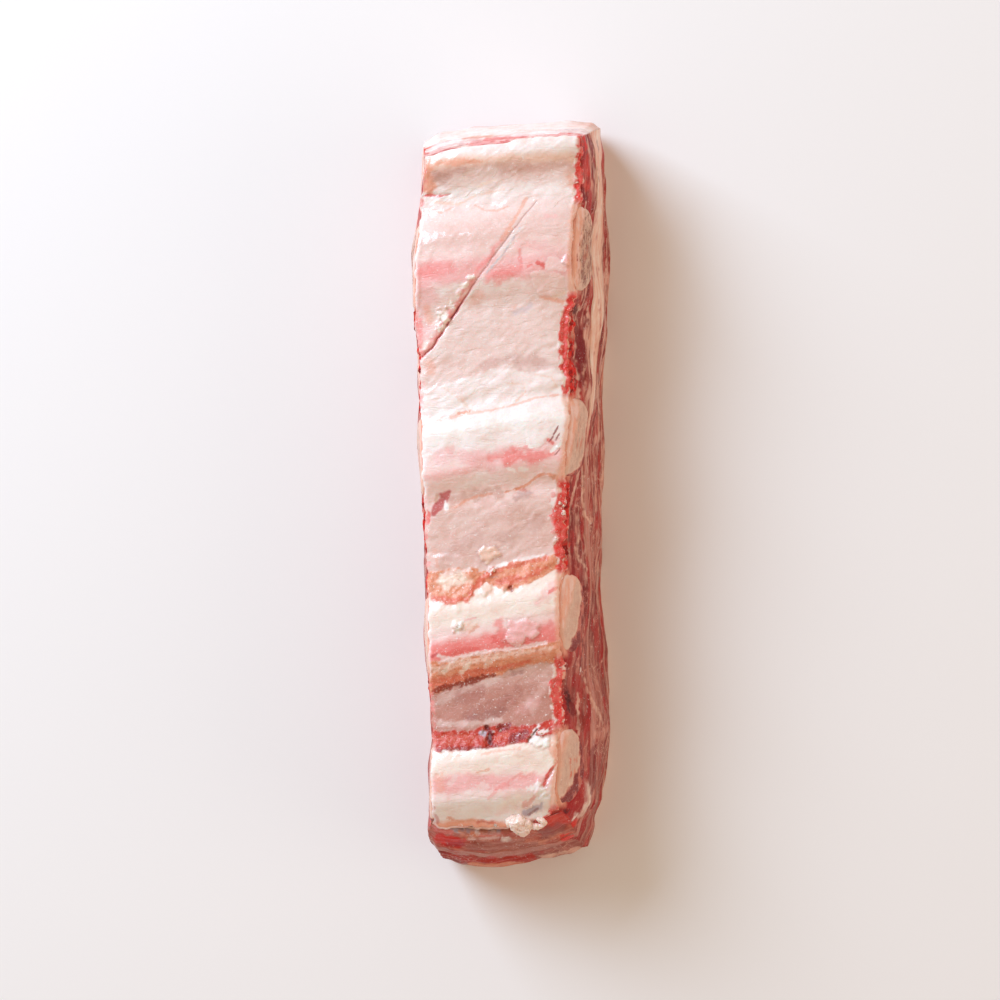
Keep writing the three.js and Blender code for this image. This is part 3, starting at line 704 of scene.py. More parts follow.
def skinColours(x, y):
    broad = 1.1 * noise(x, y, 0, 6, 90) + 0.5 * noise(x, y, 0, 2.2, 92)
    fine = 0.5 * noise(x, y, 0, 1.6, 91) + 0.3 * noise(x, y, 0, 0.8, 93)
    fromRight, fromLeft, between = edgeZones(x, y)
    across = (x + 30) / 48
    ground = np.tile(tones["salmon"], (len(x), 1))
    for (aLeft, aRight, _), (bLeft, bRight, name) in zip(skinBands, skinBands[1:]):
        start, end = mix(aLeft, aRight, across), mix(bLeft, bRight, across)
        layOn(ground, smooth(0, 1, (y + broad - start) / (end - start)), name)
    layStrokes(ground, x + 0.5 * broad, y + 0.5 * fine, skinStains, soft=0.75, ragged=0.6)
    crumbly = 0 * x
    for strip in fatStrips.values():
        share = stripShare(strip, x + 1.2 * fine, y + 1.4 * fine)
        inside = (1 - smooth(0.88, 1.08, share)) * (0.8 if strip["crumbly"] < 0.3 else 1)
        layOn(ground, inside, strip["tone"])
        crumbly += strip["crumbly"] * inside
    layStrokes(ground, x, y, skinMarks, seed=1000, soft=0.4, ragged=0.5)
    for scrap in scraps:
        away = scrapReach(scrap, x, y)
        layOn(ground, smooth(-0.3, 0.3, away) * min(1, 0.4 + scrap["thick"]), scrap["tone"])
        layOn(ground, scrap["thick"] * 0.6 * hump(away, 0.25, 0.3) * smooth(-0.2, 0.3, fine), "chalk")
        # painted shadow: a mauve ring just outside each scrap's edge, darker for thicker scraps
        layOn(ground, scrap["thick"] * 0.35 * hump(away, -0.45, 0.4), "mauve")
        crumbly *= 1 - smooth(-0.1, 0.3, away)
    side, beside = slashSide(x, y)
    cut, gape = slashCut(x, y)
    side = side + 0.3 * fine
    # painted highlight: a chalk-white line along the low ridge just right of the slash
    layOn(ground, beside * hump(side, 1.4, 0.7) * smooth(99, 92, y) * 0.4, "chalk")
    layOn(ground, beside * hump(side, -1.3, 0.9) * smooth(92, 84, y) * 0.75, "rose")
    patchy = smooth(-0.1, 0.3, fine + 0.1 * broad)
    layOn(ground, beside * hump(side, -2.3, 1.1) * smooth(80, 74, y) * patchy * 0.9, "cream")
    # along the cut: mauve where it is a hairline, rose, crimson and blood red where it gapes, darkest in its
    # deepest part; the cut meat's own colour, deepened with painted shade inside the cut
    layOn(ground, (1 - smooth(0.6, 1.4, cut)) * mix(0.5, 0, gape), "mauve")
    layOn(ground, (1 - smooth(0.9, 1.8, cut)) * gape * 0.6, "rose")
    layOn(ground, (1 - smooth(0.4, 1.2, cut)) * gape * 0.65, "crimson")
    layOn(ground, (1 - smooth(0.1, 0.7, cut)) * smooth(68, 65, y) * smooth(59, 61, y) * 0.8, "blood")
    for _, *points in skinLumps[:6]:  # the crumbs beside the slash
        layOn(ground, strokeMask(x, y, points, 31, 0.5, 0.8), "cream")
    # rims: peach over the bones, torn white fat between them, a little blood on the left
    layOn(ground, smooth(2.0, 0.8, fromRight + 0.6 * fine) * (1 - between) * 0.6, "rim")
    tornRim = smooth(1.5, 0.9, fromRight + 1.4 * fine + 0.3 * broad) * between
    lace = between * hump(y, -6, 9)  # the torn fat is widest between the second and third rib
    tornRim = np.maximum(tornRim, lace * smooth(2.8, 2, fromRight + 2 * fine + 0.4 * broad) * 0.9)
    layOn(ground, tornRim * 0.85, "white")
    layOn(ground, tornRim * smooth(0.15, 0.4, noise(x, y, 0, 1.7, 94)) * 0.85, "fringe")
    layOn(ground, smooth(0.9, 0.3, fromRight + 1.1 * noise(x, y, 0, 2.2, 95)) * between * 0.9, "fringe")
    leftRim = smooth(1.6, 0.6, fromLeft + 0.8 * fine) * between
    layOn(ground, leftRim * smooth(0.0, 0.3, fine) * 0.7, "rose")
    layOn(ground, smooth(1.2, 0.4, fromLeft) * (1 - between) * 0.6, "white")
    return ground, np.clip(crumbly + 0.4 * tornRim, 0, 1)


# relief and tints on the cut sides and ends
def sideRelief(points, normals, look):  # fibres run lengthwise on the sides and across on the ends
    stretch, seed = look["stretch"], look["seed"]
    x, y, z = points.T
    ends = np.abs(normals[:, 1]) > 0.6
    sides = noise(x, y, z, (4, 11 * stretch, 1.5), seed) * 0.5
    sides += noise(x, y, z, (2, 6 * stretch, 0.8), seed + 1) * 0.25
    across = noise(x, y, z, (9 * stretch, 4, 1.5), seed + 2) * 0.8
    across += noise(x, y, z, (5 * stretch, 2, 0.8), seed + 3) * 0.35
    lumps = 0.45 * noise(x, y, z, 7, seed + 4) + 0.15 * noise(x, y, z, 2.4, seed + 5)
    return look["strength"] * (np.where(ends, across, sides) + lumps)


def onWalls(spots):  # right, left, near end, far end
    return spots[:, 0] == 1, spots[:, 0] == 0, spots[:, 1] == 0, spots[:, 1] == 1


def raiseWalls(mesh, spots, look):
    points, normals = pointsOf(mesh), normalsOf(mesh)
    level = normals * (1, 1, 0)  # push sideways only, so that the layers stay in their order
    length = np.maximum(np.linalg.norm(level, axis=1, keepdims=True), 1e-6)
    push = np.any(onWalls(spots), axis=0) * (sideRelief(points, normals, look) + look["proud"])
    movePoints(mesh, points + level / length * push[:, None])


membraneSize = {
    "rows": 660, "wallRows": 4, "endColumns": 130, "columns": 130, "underColumns": 8,
    "inset": 0.3, "deeper": 3.2,
}


def makeMembrane():
    size = membraneSize

    def under(x, y):  # lies deeper away from the edges, so that the slash stays in the skin
        fromRight, fromLeft, _ = edgeZones(x, y)
        middle = smooth(2, 8, np.minimum(fromRight, fromLeft)) * smooth(-114, -106, y)
        return skinBottom(x, y) - size["inset"] - size["deeper"] * middle

    spots, faces = sliceGrid(size)
    points = placeSlice(spots, skinTop, under)
    x, y, down = points[:, 0], points[:, 1], spots[:, 2]
    points[:, 2] += skinRelief(x, y) * np.clip(1 - down, 0, 1)
    ground, crumbly = skinColours(x, y)
    fromRight, fromLeft, between = edgeZones(x, y)
    ragged = between * (0.8 * cloud(0, y, 0, 3, 150) + 0.1) + 0.2 * cloud(0, y, 0, 1.6, 151)
    points[:, 0] += ragged * smooth(3, 0, fromRight) + 0.4 * cloud(0, y, 0, 2.6, 152) * smooth(3, 0, fromLeft)
    points[:, 1] += smooth(-110, -117, y) * (1.0 * cloud(x, 0, 0, 5, 153) + 0.3 * cloud(x, 0, 0, 1.8, 154))
    farWave = 0.5 * cloud(x, 0, 0, 9, 155) + 0.12 * cloud(x, 0, 0, 2, 156)
    points[:, 1] += smooth(112, 121, y - block["endSlant"] * x) * farWave
    # the cut edges: a red fringe between the bones, a peach rim over them
    wall = (down > 0) & (down < 1)
    fine = cloud(x, y, points[:, 2], (2, 1.8, 1.2), 157)
    layOn(ground, wall * 0.9, "rim")
    layOn(ground, wall * between * smooth(-0.5, 0.0, fine + 0.3), "fringe")
    layOn(ground, wall * between * smooth(0.35, 0.6, fine) * 0.7, "cream")
    ends = np.maximum(smooth(-113.2, -115.5, y + 0.4 * fine), smooth(119.5, 121.5, y - block["endSlant"] * x))
    layOn(ground, ends * (down > 0) * 0.8, "peach")
    mesh = makeMesh("membrane", points, faces)
    onTop = down == 0
    paint(mesh, ground, crumbly=crumbly, wet=0.35 + 0.5 * crumbly, crumbs=crumbPlaces(x, y) * onTop,
          sinews=sinewPlaces(x, y) * onTop)
    return mesh


def crumbPlaces(x, y):  # where loose crumbs of fat cling
    fromRight, _, between = edgeZones(x, y)
    side, beside = slashSide(x, y)
    torn = smooth(2.6, 0.2, fromRight) * between * (0.3 + 0.9 * smooth(5, 0, np.abs(y + 4)))
    heaps = [
        (-18.4, -45.3, 1.4), (0.5, -50.6, 1.6), (9, -82.5, 2), (14.6, 20, 1), (16, 69, 1.6),
        (-24, -36.6, 1.2), (6, -107, 2), (-6, -114, 2), (-5.6, -25, 1.8), (-4.5, -81, 1),
    ]
    for hx, hy, half in heaps:
        torn = np.maximum(torn, hump(np.hypot(x - hx, y - hy), 0, half))
    return np.maximum(torn, beside * hump(side, -1.8, 0.9) * smooth(78, 72, y) * smooth(58, 62, y) * 0.25)


def sinewPlaces(x, y):  # where fine sinews lie
    side, beside = slashSide(x, y)
    hollow = hump(y, 108 + block["endSlant"] * x, 3) * smooth(2, -6, x)
    return np.maximum(hollow * 0.8, 0.5 * hump(side, 3, 3) * beside)


# colours of the cut sides and ends
# tone, strength, then points of y, z, half width on the right side
sideMarks = [
    ("peach", 0.85, (59.5, 42, 1.6), (54, 41.8, 1.6), (47, 41, 1.6), (40.5, 40.8, 1.5), (35, 40, 1.1)),
    ("peach", 0.75, (12.5, 35.2, 0.5), (5.5, 37.5, 0.5), (1.5, 39.2, 0.5), (-5.5, 41, 0.5)),
    ("peach", 0.75, (11.5, 33, 0.5), (2.5, 32.2, 0.5), (0.5, 33.2, 0.5), (-6.5, 30.8, 0.5), (-9, 27.5, 0.4)),
    ("peach", 0.75, (-11.5, 34, 0.5), (-14, 34.5, 0.5), (-16.5, 36.8, 0.6), (-19.5, 38, 0.6),
     (-22, 36.5, 0.6), (-25.5, 31.2, 0.5)),
    ("peach", 0.6, (26, 11, 1), (6, 11.5, 1.2), (-15.5, 11.8, 1.2), (-36.5, 13.5, 1)),
    ("peach", 0.8, (-68.5, 36.2, 0.5), (-82.5, 37.5, 0.5)),
    ("muscleLight", 0.5, (-81, 17, 1.6), (-84, 27, 1.6)),
    ("peach", 0.6, (-64, 32, 0.5), (-72, 29, 0.5), (-78, 24, 0.5), (-84, 21, 0.4)),
    ("peach", 0.5, (-60, 24, 0.5), (-70, 21, 0.5)),
    ("cream", 0.8, (-96, 37.6, 0.8), (-100.5, 34.4, 1.2), (-104.5, 31, 1.3), (-111, 30, 1.2)),
    ("muscleDark", 0.7, (-90, 30, 2.4), (-99, 27, 2.6)),
    ("peach", 0.7, (100, 22, 0.5), (84, 19, 0.7), (66, 20, 0.5)),
    ("peach", 0.7, (90, 11, 0.6), (60, 12.5, 0.8), (34, 10, 0.5)),
    ("fringe", 0.9, (121.6, 40, 1.3), (123.4, 40, 1.3)), ("red", 0.8, (116.5, 39.5, 1.7), (109.6, 39.5, 1.8)),
    ("blood", 0.85, (106, 41.2, 1.2), (104, 41.2, 1.2)), ("blood", 0.6, (124, 24.5, 0.9), (121, 24.5, 0.9)),
    ("blood", 0.6, (114, 29.2, 0.5), (111, 29.2, 0.5)), ("crimson", 0.8, (70.2, 44, 1.5), (67.8, 44, 1.5)),
    ("dark", 0.9, (65.6, 42.2, 1.4), (64.4, 42.2, 1.4)), ("blood", 0.8, (63.2, 33.8, 1.1), (60.8, 33.8, 1.1)),
    ("blood", 1, (53, 37, 2.2), (49, 37, 2.2)), ("blood", 0.9, (57, 38.2, 1.6), (54.4, 38.2, 2)),
    ("blood", 0.85, (44, 36.2, 1.4), (40, 36.2, 1.4)), ("blood", 0.8, (3.6, 44, 1.6), (2.4, 44, 1.6)),
    ("maroon", 0.65, (-4, 38, 1.8), (-10, 37.6, 2.4), (-16, 38.2, 1.6)),
    ("maroon", 0.9, (-32, 33.5, 0.8), (-38, 33.8, 0.8), (-46.5, 37.8, 0.7), (-51.5, 40.2, 0.6)),
    ("maroon", 0.7, (-50.6, 33.8, 0.7), (-53.4, 33.8, 0.7)),
    ("dark", 0.75, (-57.4, 34.5, 1), (-58.6, 34.5, 1)), ("chalk", 0.9, (-60, 34.5, 0.8), (-60.6, 34.6, 0.6)),
    ("dark", 0.95, (-68, 41.5, 0.8), (-75, 41.5, 0.8)), ("blood", 0.85, (-70, 39.5, 1), (-75, 39.5, 1)),
    ("brown", 0.6, (-74, 34.8, 1.8), (-78.2, 34.8, 2)),
    ("crimson", 0.9, (-87.6, 36.3, 0.9), (-90.4, 36.3, 0.9)),
    ("crimson", 0.9, (-91.5, 36, 1), (-93.5, 36, 1)),
    ("meat", 0.9, (-98, 38, 1.8), (-103, 38.5, 3.4), (-108, 38, 3.8)), ("dark", 0.9, (-110, 41, 1.2)),
    ("chalk", 0.9, (-111.5, 33.2, 1)), ("fringe", 0.9, (-113.5, 31.5, 1.4)),
    ("fringe", 0.9, (-119.5, 38, 1.5)),
]
# the same for the near end, by x and y as seen from above
frontMarks = [
    ("lilac", 0.85, (-21, -115.6, 1), (-13, -116, 1.1), (-6, -115.4, 0.9)),
    # painted shadow: the dark line just under the membrane's overhanging edge
    ("dark", 0.9, (-22, -114.1, 0.6), (-14, -114.4, 0.7), (-6, -114, 0.5)),
    ("rose", 0.8, (-27, -115.6, 1.2), (-22, -117, 1)), ("fringe", 0.95, (-27, -119.2, 2), (-20, -119.8, 1.8)),
    ("crimson", 0.8, (-24, -121.6, 1), (-19, -121.4, 1)), ("salmon", 1, (-18, -118, 1.5), (-7, -117.8, 1.4)),
    ("white", 0.9, (-13, -117.2, 0.5), (-5.4, -117.4, 0.8)),
    ("chalk", 1, (-4.2, -119.7, 0.7), (-2.4, -119.8, 0.7)),
    ("mauve", 0.7, (-16, -122.6, 2), (8, -121.6, 2.4)), ("fringe", 0.6, (9, -113, 2.4), (17, -111, 2.4)),
    ("salmon", 0.6, (8, -121, 1), (15, -118, 1)), ("blush", 0.9, (-16, -119.4, 0.5), (-6, -119, 0.6)),
    ("rose", 0.7, (-12, -118.4, 0.5), (-4, -117.4, 0.5)), ("plum", 0.6, (10, -117.4, 2), (16, -114.6, 2)),
    ("fringe", 0.9, (16.4, -119.6, 1.2), (18.4, -118.6, 1.2)),
    ("brick", 0.9, (-24, -126.4, 1.6), (-8, -128.6, 1.6), (4, -127.6, 1.5)),
    ("salmon", 0.9, (-18, -130.2, 1), (0, -130, 1)), ("mauve", 0.7, (10, -124.6, 2), (20, -121.6, 2)),
    ("peach", 0.8, (8, -127.4, 0.9), (20, -124.4, 0.9)),
]
backMarks = [  # and the far end
    ("white", 0.95, (-28, 126, 5), (24, 129, 5)),
    ("pink", 0.75, (-14, 122.4, 1.6), (0, 123.4, 1.6), (20, 124.6, 1.4)),
    ("chalk", 0.9, (-29, 122, 2), (-21, 123, 1.6)),
    ("red", 0.75, (-16, 121.6, 0.7), (-6, 122.6, 0.6), (1, 122.4, 0.5)),
    ("rose", 0.8, (-10, 124.2, 0.7), (-2, 124.8, 0.8), (8, 124.4, 0.6)),
    ("red", 0.8, (8, 123, 0.6), (19, 124.4, 0.6)), ("blush", 0.9, (-6, 123.4, 0.6), (3, 123.8, 0.7)),
    ("chalk", 0.8, (6, 126, 1), (18, 127, 1)), ("salmon", 0.6, (-18, 125.4, 0.6), (-8, 126, 0.6)),
    ("red", 0.8, (22, 123.4, 1), (24.6, 121, 1)), ("rose", 0.6, (12, 125.4, 0.5), (20, 126.2, 0.5)),
]
fringeFoot = [  # y, z of the red fringe's lower limit
    (-79, 45.2), (-74, 44), (-67, 44.2), (-60, 45.8), (-29, 42), (-24, 44), (-17, 42.8), (-6, 42), (6, 43.2),
    (35, 40.5), (43, 41.5), (52, 42.2), (61, 43), (71, 46),
]


def layWallMarks(ground, points, spots):
    x, y, z = points.T
    right, left, front, back = onWalls(spots)
    layStrokes(ground, x, y, backMarks, back, seed=2900, soft=0.5, ragged=0.6)
    layStrokes(ground, y, z, sideMarks, right, seed=2000, soft=0.7, ragged=0.9)
    layStrokes(ground, 8 - y, z, sideMarks, left * 0.9, seed=2300, soft=0.7, ragged=0.9)
    layStrokes(ground, x, y, frontMarks, front, seed=2600, soft=0.4, ragged=0.45)


def meatGround(points, seed):  # muscle: pale and dark streaks that run lengthwise, thin pale veins
    x, y, z = points.T
    ground = np.tile(tones["muscle"], (len(x), 1))
    slant = z + 0.12 * y + 1.2 * noise(x, y, z, (9, 14, 7), seed)
    pale = smooth(-40, 30, y)
    for low, high, size, shift, strength, tone in (
        (-0.05, 0.25, (6, 12, 2.6), 1, 0.7, "muscleDark"),
        (0.0, 0.3, (5, 10, 1.7), 2, mix(0.35, 0.9, pale), "muscleLight"),
        (0.1, 0.35, (3, 6, 1.0), 3, 0.6, "muscleDark"),
        (0.15, 0.4, (3, 5, 0.8), 8, mix(0.25, 0.7, pale), "peach"),
    ):
        layOn(ground, smooth(low, high, noise(x, y, slant, size, seed + shift)) * strength, tone)
    veins = np.abs(noise(x, y, slant, (8, 9, 5), seed + 4) + 0.4 * noise(x, y, slant, (3, 4, 1.8), seed + 5))
    there = smooth(-0.15, 0.25, noise(x, y, z, (12, 15, 10), seed + 6))
    layOn(ground, smooth(0.1, 0.015, veins) * there * 0.8, "muscleLight")
    layOn(ground, smooth(0.1, 0.45, cloud(x, y, z, (4, 7, 2.8), seed + 7)) * 0.75, "meat")
    return ground


def layAslant(ground, points, front, seed):  # fibres on the near end
    x, y, z = points.T
    slanted = noise(x + 0.9 * z, 0 * y, z - 0.5 * x, (0.9, 1, 7), seed)
    layOn(ground, front * smooth(-0.1, 0.5, slanted) * 0.6, "tissue")
    layOn(ground, front * smooth(0.1, -0.5, slanted) * 0.55, "meat")


# for each layer the rows and columns of its mesh, and the relief of its cut walls
wallLook = {
    "ribMeat": {
        "rows": 600, "wallRows": 34, "endColumns": 120, "columns": 8, "underColumns": 8,
        "stretch": 0.9, "strength": 0.5, "proud": 0.0, "seed": 200,
    },
    "fatSeam": {
        "rows": 560, "wallRows": 12, "endColumns": 110, "columns": 8, "underColumns": 8,
        "stretch": 1.6, "strength": 0.3, "proud": 0.2, "seed": 220,
    },
    "outerMeat": {
        "rows": 600, "wallRows": 46, "endColumns": 120, "columns": 8, "underColumns": 8,
        "stretch": 1.1, "strength": 0.6, "proud": 0.0, "seed": 240,
    },
    "fatCap": {
        "rows": 400, "wallRows": 7, "endColumns": 60, "columns": 8, "underColumns": 60,
        "stretch": 1.5, "strength": 0.35, "proud": 0.0, "seed": 260,
    },
}
layerOverlap = 0.15  # how far a layer reaches into the ones above and below


def makeLayer(name, topLevel, bottomLevel):
    look = wallLook[name]

    def top(x, y):
        return topLevel(x, y) + layerOverlap

    def bottom(x, y):
        return np.maximum(bottomLevel(x, y) - layerOverlap, tableLevel(x, y))

    spots, faces = sliceGrid(look)
    mesh = makeMesh(name, placeSlice(spots, top, bottom), faces)
    raiseWalls(mesh, spots, look)
    return mesh, spots


def makeRibMeat():
    mesh, spots = makeLayer("ribMeat", skinBottom, ribMeatBase)
    points = pointsOf(mesh)
    x, y, z = points.T
    between = edgeZones(x, y)[2]
    right, left, front, back = onWalls(spots)
    fine = cloud(x, y, z, (3, 4, 1.2), 206)
    fringe = smooth(-0.5, 0.5, z - along(fringeFoot, y) + 1.2 * fine) * between
    points[:, 0] += np.where(right, fringe * (0.6 + 0.45 * cloud(x, y, z, 1.8, 202)), 0)
    points[:, 0] -= np.where(left, fringe * (0.3 + 0.5 * cloud(x, y, z, 2.2, 203)), 0)
    # the near end is a stack of torn flaps under a crevice, which is painted dark as shade
    crevice = front * hump(z, 42.2 + 0.6 * noise(x, 0, 0, 6, 204), 1.0) * smooth(8, -2, x)
    flap = front * smooth(38, 40.5, z + 0.8 * noise(x, 0, 0, 5, 205)) * smooth(-22, -14, x) * smooth(4, -4, x)
    points[:, 1] += crevice * 1.8 - flap * (1 - smooth(40.6, 41.6, z)) * 1.6
    movePoints(mesh, points)
    ground = meatGround(points, 210)
    layOn(ground, smooth(-0.3, 0.3, noise(x, y, z, (5, 8, 3), 208)) * smooth(33, 38, z) * 0.75, "meat")
    layAslant(ground, points, front, 209)
    # painted light: the near end is lifted towards salmon, against the shade it gets facing away from the
    # light
    layOn(ground, front * 0.3, "salmon")
    layWallMarks(ground, points, spots)
    walls = right | left
    layOn(ground, (1 - between) * smooth(2.5, 1, skinBottom(x, y) - z) * walls, "rim")
    layOn(ground, walls * fringe, "fringe")
    shreds = cloud(x, y, z, (1.6, 2.2, 1.2), 207)
    layOn(ground, walls * fringe * smooth(0.35, 0.7, shreds) * 0.7, "rim")
    layOn(ground, walls * fringe * smooth(-0.15, -0.5, shreds) * 0.85, "blood")
    layOn(ground, back * smooth(38, 43, z) * 0.8, "pink")
    layOn(ground, back * smooth(0.05, 0.4, fine) * smooth(36, 40, z) * 0.8, "red")
    # painted shade: the crevice under the membrane's near edge is painted dark
    layOn(ground, crevice, "dark")
    paint(mesh, ground, wet=0.5 + 0.2 * fringe + 0.3 * front, crumbly=0)
    return mesh


def makeFatSeam():
    mesh, spots = makeLayer("fatSeam", ribMeatBase, seamBottom)
    points = pointsOf(mesh)
    x, y, z = points.T
    _, _, front, back = onWalls(spots)
    streaks = cloud(x, y, z, (5, 9, 1.0), 221)
    ground = np.tile(tones["peach"], (len(x), 1))
    layOn(ground, smooth(0.1, 0.7, streaks) * 0.5, "salmon")
    layOn(ground, smooth(0.1, -0.5, streaks) * 0.8, "cream")
    layOn(ground, smooth(0.5, 0.9, cloud(x, y, z, (4, 6, 1.4), 224)) * 0.6, "meat")
    layOn(ground, smooth(30, 5, y) * 0.75, "muscle")
    layOn(ground, (front | back) * 0.3, "mauve")
    layWallMarks(ground, points, spots)
    paint(mesh, ground, wet=0.4, crumbly=0)
    return mesh


def makeOuterMeat():
    mesh, spots = makeLayer("outerMeat", seamBottom, outerMeatBase)
    points = pointsOf(mesh)
    x, y, z = points.T
    right, left, front, _ = onWalls(spots)
    ground = meatGround(points, 240)
    layAslant(ground, points, front, 248)
    wander = z + 1.6 * np.sin(y / 23) + 1.2 * cloud(x, y, z, (9, 18, 6), 251)
    layOn(ground, hump(wander, 17.5, 0.7) * smooth(0, 40, y) * 0.7, "cream")
    layOn(ground, hump(wander, 9.5, 0.6) * smooth(-0.4, 0.3, noise(x, y, 0, 25, 252)) * 0.6, "peach")
    layOn(ground, smooth(70, 110, y) * smooth(0, 0.5, noise(x, y, z, (5, 9, 4), 253)) * 0.5, "red")
    layOn(ground, smooth(-0.1, 0.5, noise(x, y, z, (7, 14, 6), 254)) * smooth(-10, -60, y) * 0.4, "mauve")
    layOn(ground, smooth(8, 3.5, z + 0.8 * noise(x, y, 0, 5, 255)) * (right | left) * 0.6, "salmon")
    layWallMarks(ground, points, spots)
    paint(mesh, ground, wet=0.45, crumbly=0)
    return mesh


def makeFatCap():
    mesh, _ = makeLayer("fatCap", outerMeatBase, tableLevel)
    x, y, z = pointsOf(mesh).T
    ground = np.tile(tones["peach"], (len(x), 1))
    layOn(ground, smooth(0.0, 0.6, cloud(x, y, z, (7, 12, 3), 261)) * 0.6, "salmon")
    layOn(ground, smooth(0.1, 0.6, cloud(x, y, z, (12, 16, 5), 264)) * 0.6, "cream")
    layOn(ground, smooth(0.45, 0.8, cloud(x, y, z, (9, 12, 3), 263)) * 0.35, "blood")
    paint(mesh, ground, wet=0.4, crumbly=0)
    return mesh


# node building
class Wiring:  # short calls that build one node tree
    def __init__(self, tree):
        self.tree = tree

    def add(self, kind, inputs=None, **settings):  # a new node's outputs; inputs are linked or set
        node = self.tree.nodes.new(kind)
        for name, value in settings.items():
            setattr(node, name, value)
        self.feed(node.inputs, inputs or {})
        return node.outputs

    def feed(self, sockets, values):
        for name, value in values.items():
            if isinstance(value, bpy.types.NodeSocket):
                self.tree.links.new(value, sockets[name])
            else:
                sockets[name].default_value = value

    def calc(self, operation, *values):
        return self.add("ShaderNodeMath", dict(enumerate(values)), operation=operation)[0]

    def remap(self, value, low, high, toLow=0.0, toHigh=1.0):
        limits = {"From Min": low, "From Max": high, "To Min": toLow, "To Max": toHigh}
        return self.add("ShaderNodeMapRange", {"Value": value, **limits})[0]

    def noise(self, where, scale, detail=2.0, roughness=0.5, distortion=0.0):
        values = {"Scale": scale, "Detail": detail, "Roughness": roughness, "Distortion": distortion}
        return self.add("ShaderNodeTexNoise", {"Vector": where, **values})

    def blend(self, mask, under, over, how="MIX"):
        return self.add("ShaderNodeMix", {0: mask, 6: under, 7: over}, data_type="RGBA", blend_type=how)[2]

    def xyz(self, **parts):
        return self.add("ShaderNodeCombineXYZ", parts)[0]

    def vectorMath(self, operation, values):
        return self.add("ShaderNodeVectorMath", values, operation=operation)[0]

    def random(self, low, high, seed):
        return self.add("FunctionNodeRandomValue", {2: low, 3: high, "Seed": seed}, data_type="FLOAT")[1]

    def stored(self, name):  # a value kept on the carrier's points
        return self.add("GeometryNodeInputNamedAttribute", {"Name": name}, data_type="FLOAT")["Attribute"]

    def move(self, geometry, **values):
        return self.add("GeometryNodeSetPosition", {"Geometry": geometry, **values})[0]

    def wander(self, amount, scale, detail=1.0, roughness=0.5):  # an offset that differs from place to place
        colour = self.noise(self.add("GeometryNodeInputPosition")[0], scale, detail, roughness)["Color"]
        centred = self.vectorMath("SUBTRACT", {0: colour, 1: (0.5, 0.5, 0.5)})
        return self.vectorMath("SCALE", {0: centred, "Scale": amount})

    def realise(self, geometry):
        return self.add("GeometryNodeRealizeInstances", {0: geometry})[0]

    def finish(self, **results):  # links the results to the tree's outputs
        self.feed(self.tree.nodes.new("NodeGroupOutput").inputs, results)
        return self.tree


socketKinds = {float: "Float", int: "Int", tuple: "Color"}


def newTree(name, kind, inputs, outputs):  # an input is given by its first value, or by its kind alone
    tree = bpy.data.node_groups.new(name, kind)
    for label, value in inputs.items():
        valueKind = socketKinds.get(type(value), value)
        socket = tree.interface.new_socket(label, in_out="INPUT", socket_type="NodeSocket" + valueKind)
        if valueKind != value:
            socket.default_value = value
    for label, outputKind in outputs.items():
        tree.interface.new_socket(label, in_out="OUTPUT", socket_type="NodeSocket" + outputKind)
    return Wiring(tree), tree.nodes.new("NodeGroupInput").outputs


def newShapeTree(name, sizes):
    inputs = {"Geometry": "Geometry", **sizes, "Material": "Material"}
    return newTree(name, "GeometryNodeTree", inputs, {"Geometry": "Geometry"})


def finishShape(wire, given, shape):  # every shape tree ends like this
    real = wire.realise(wire.add("GeometryNodeSetShadeSmooth", {"Geometry": shape})[0])
    done = wire.add("GeometryNodeSetMaterial", {"Geometry": real, "Material": given["Material"]})[0]
    return wire.finish(Geometry=done)


def applyTree(carrier, tree, values, name):  # runs a tree on a carrier and keeps the result as a plain mesh
    modifier = carrier.modifiers.new(tree.name, "NODES")
    modifier.node_group = tree
    sockets = {item.name: item.identifier for item in tree.interface.items_tree if item.in_out == "INPUT"}
    for label, value in values.items():
        modifier[sockets[label]] = value
    graph = bpy.context.evaluated_depsgraph_get()
    graph.update()
    evaluated = carrier.evaluated_get(graph)
    mesh = bpy.data.meshes.new_from_object(evaluated, preserve_all_data_layers=True, depsgraph=graph)
    carrier.modifiers.remove(modifier)
    mesh.name = name
    return mesh


# rib bones, by Geometry Nodes: a D-shaped shaft with gridded sawn faces
boneSize = {
    "edgeDepth": 4.5,  # from the crown to the widest level
    "underSkin": 0.6,
    "proud": 0.5,  # how far the sawn faces stand out of the meat
    "rings": {"Around": 96, "Face Rings": 30, "Shaft Rings": 26},
}
# what shows of each sawn face: rows of place along it, from its near end (-1) to its far end (1), and how far
# below its crown the bare bone starts and ends; skin is drawn over it above that and shreds of meat below
faceLooks = [
    {
        "spongy": 1.0, "marrowy": 0.3,
        "bare": [(-1, 1.5, 14), (-0.4, 3, 16), (0.3, 4, 16), (1, 5, 14)],
    },
    {
        "spongy": 0.3, "marrowy": 0.5,
        "bare": [(-1, 0, 2), (-0.7, 0.5, 8.5), (-0.3, 1.5, 12), (0.3, 3.5, 12.3), (1, 5.5, 12)],
    },
    {
        "spongy": 0.12, "marrowy": 0.1,
        "bare": [(-1, 0.4, 1.6), (-0.75, 0, 4.4), (-0.35, 0.3, 7.9), (0.05, 2.2, 9.3), (0.45, 5, 10.2),
                 (1, 7, 8)],
    },
    {
        "spongy": 0.16, "marrowy": 0.9,
        "bare": [(-1, -1, 1.2), (-0.37, -0.5, 5.6), (0.18, 0.2, 8.1), (0.73, 2, 8.2), (1, 3, 6.2)],
    },
]


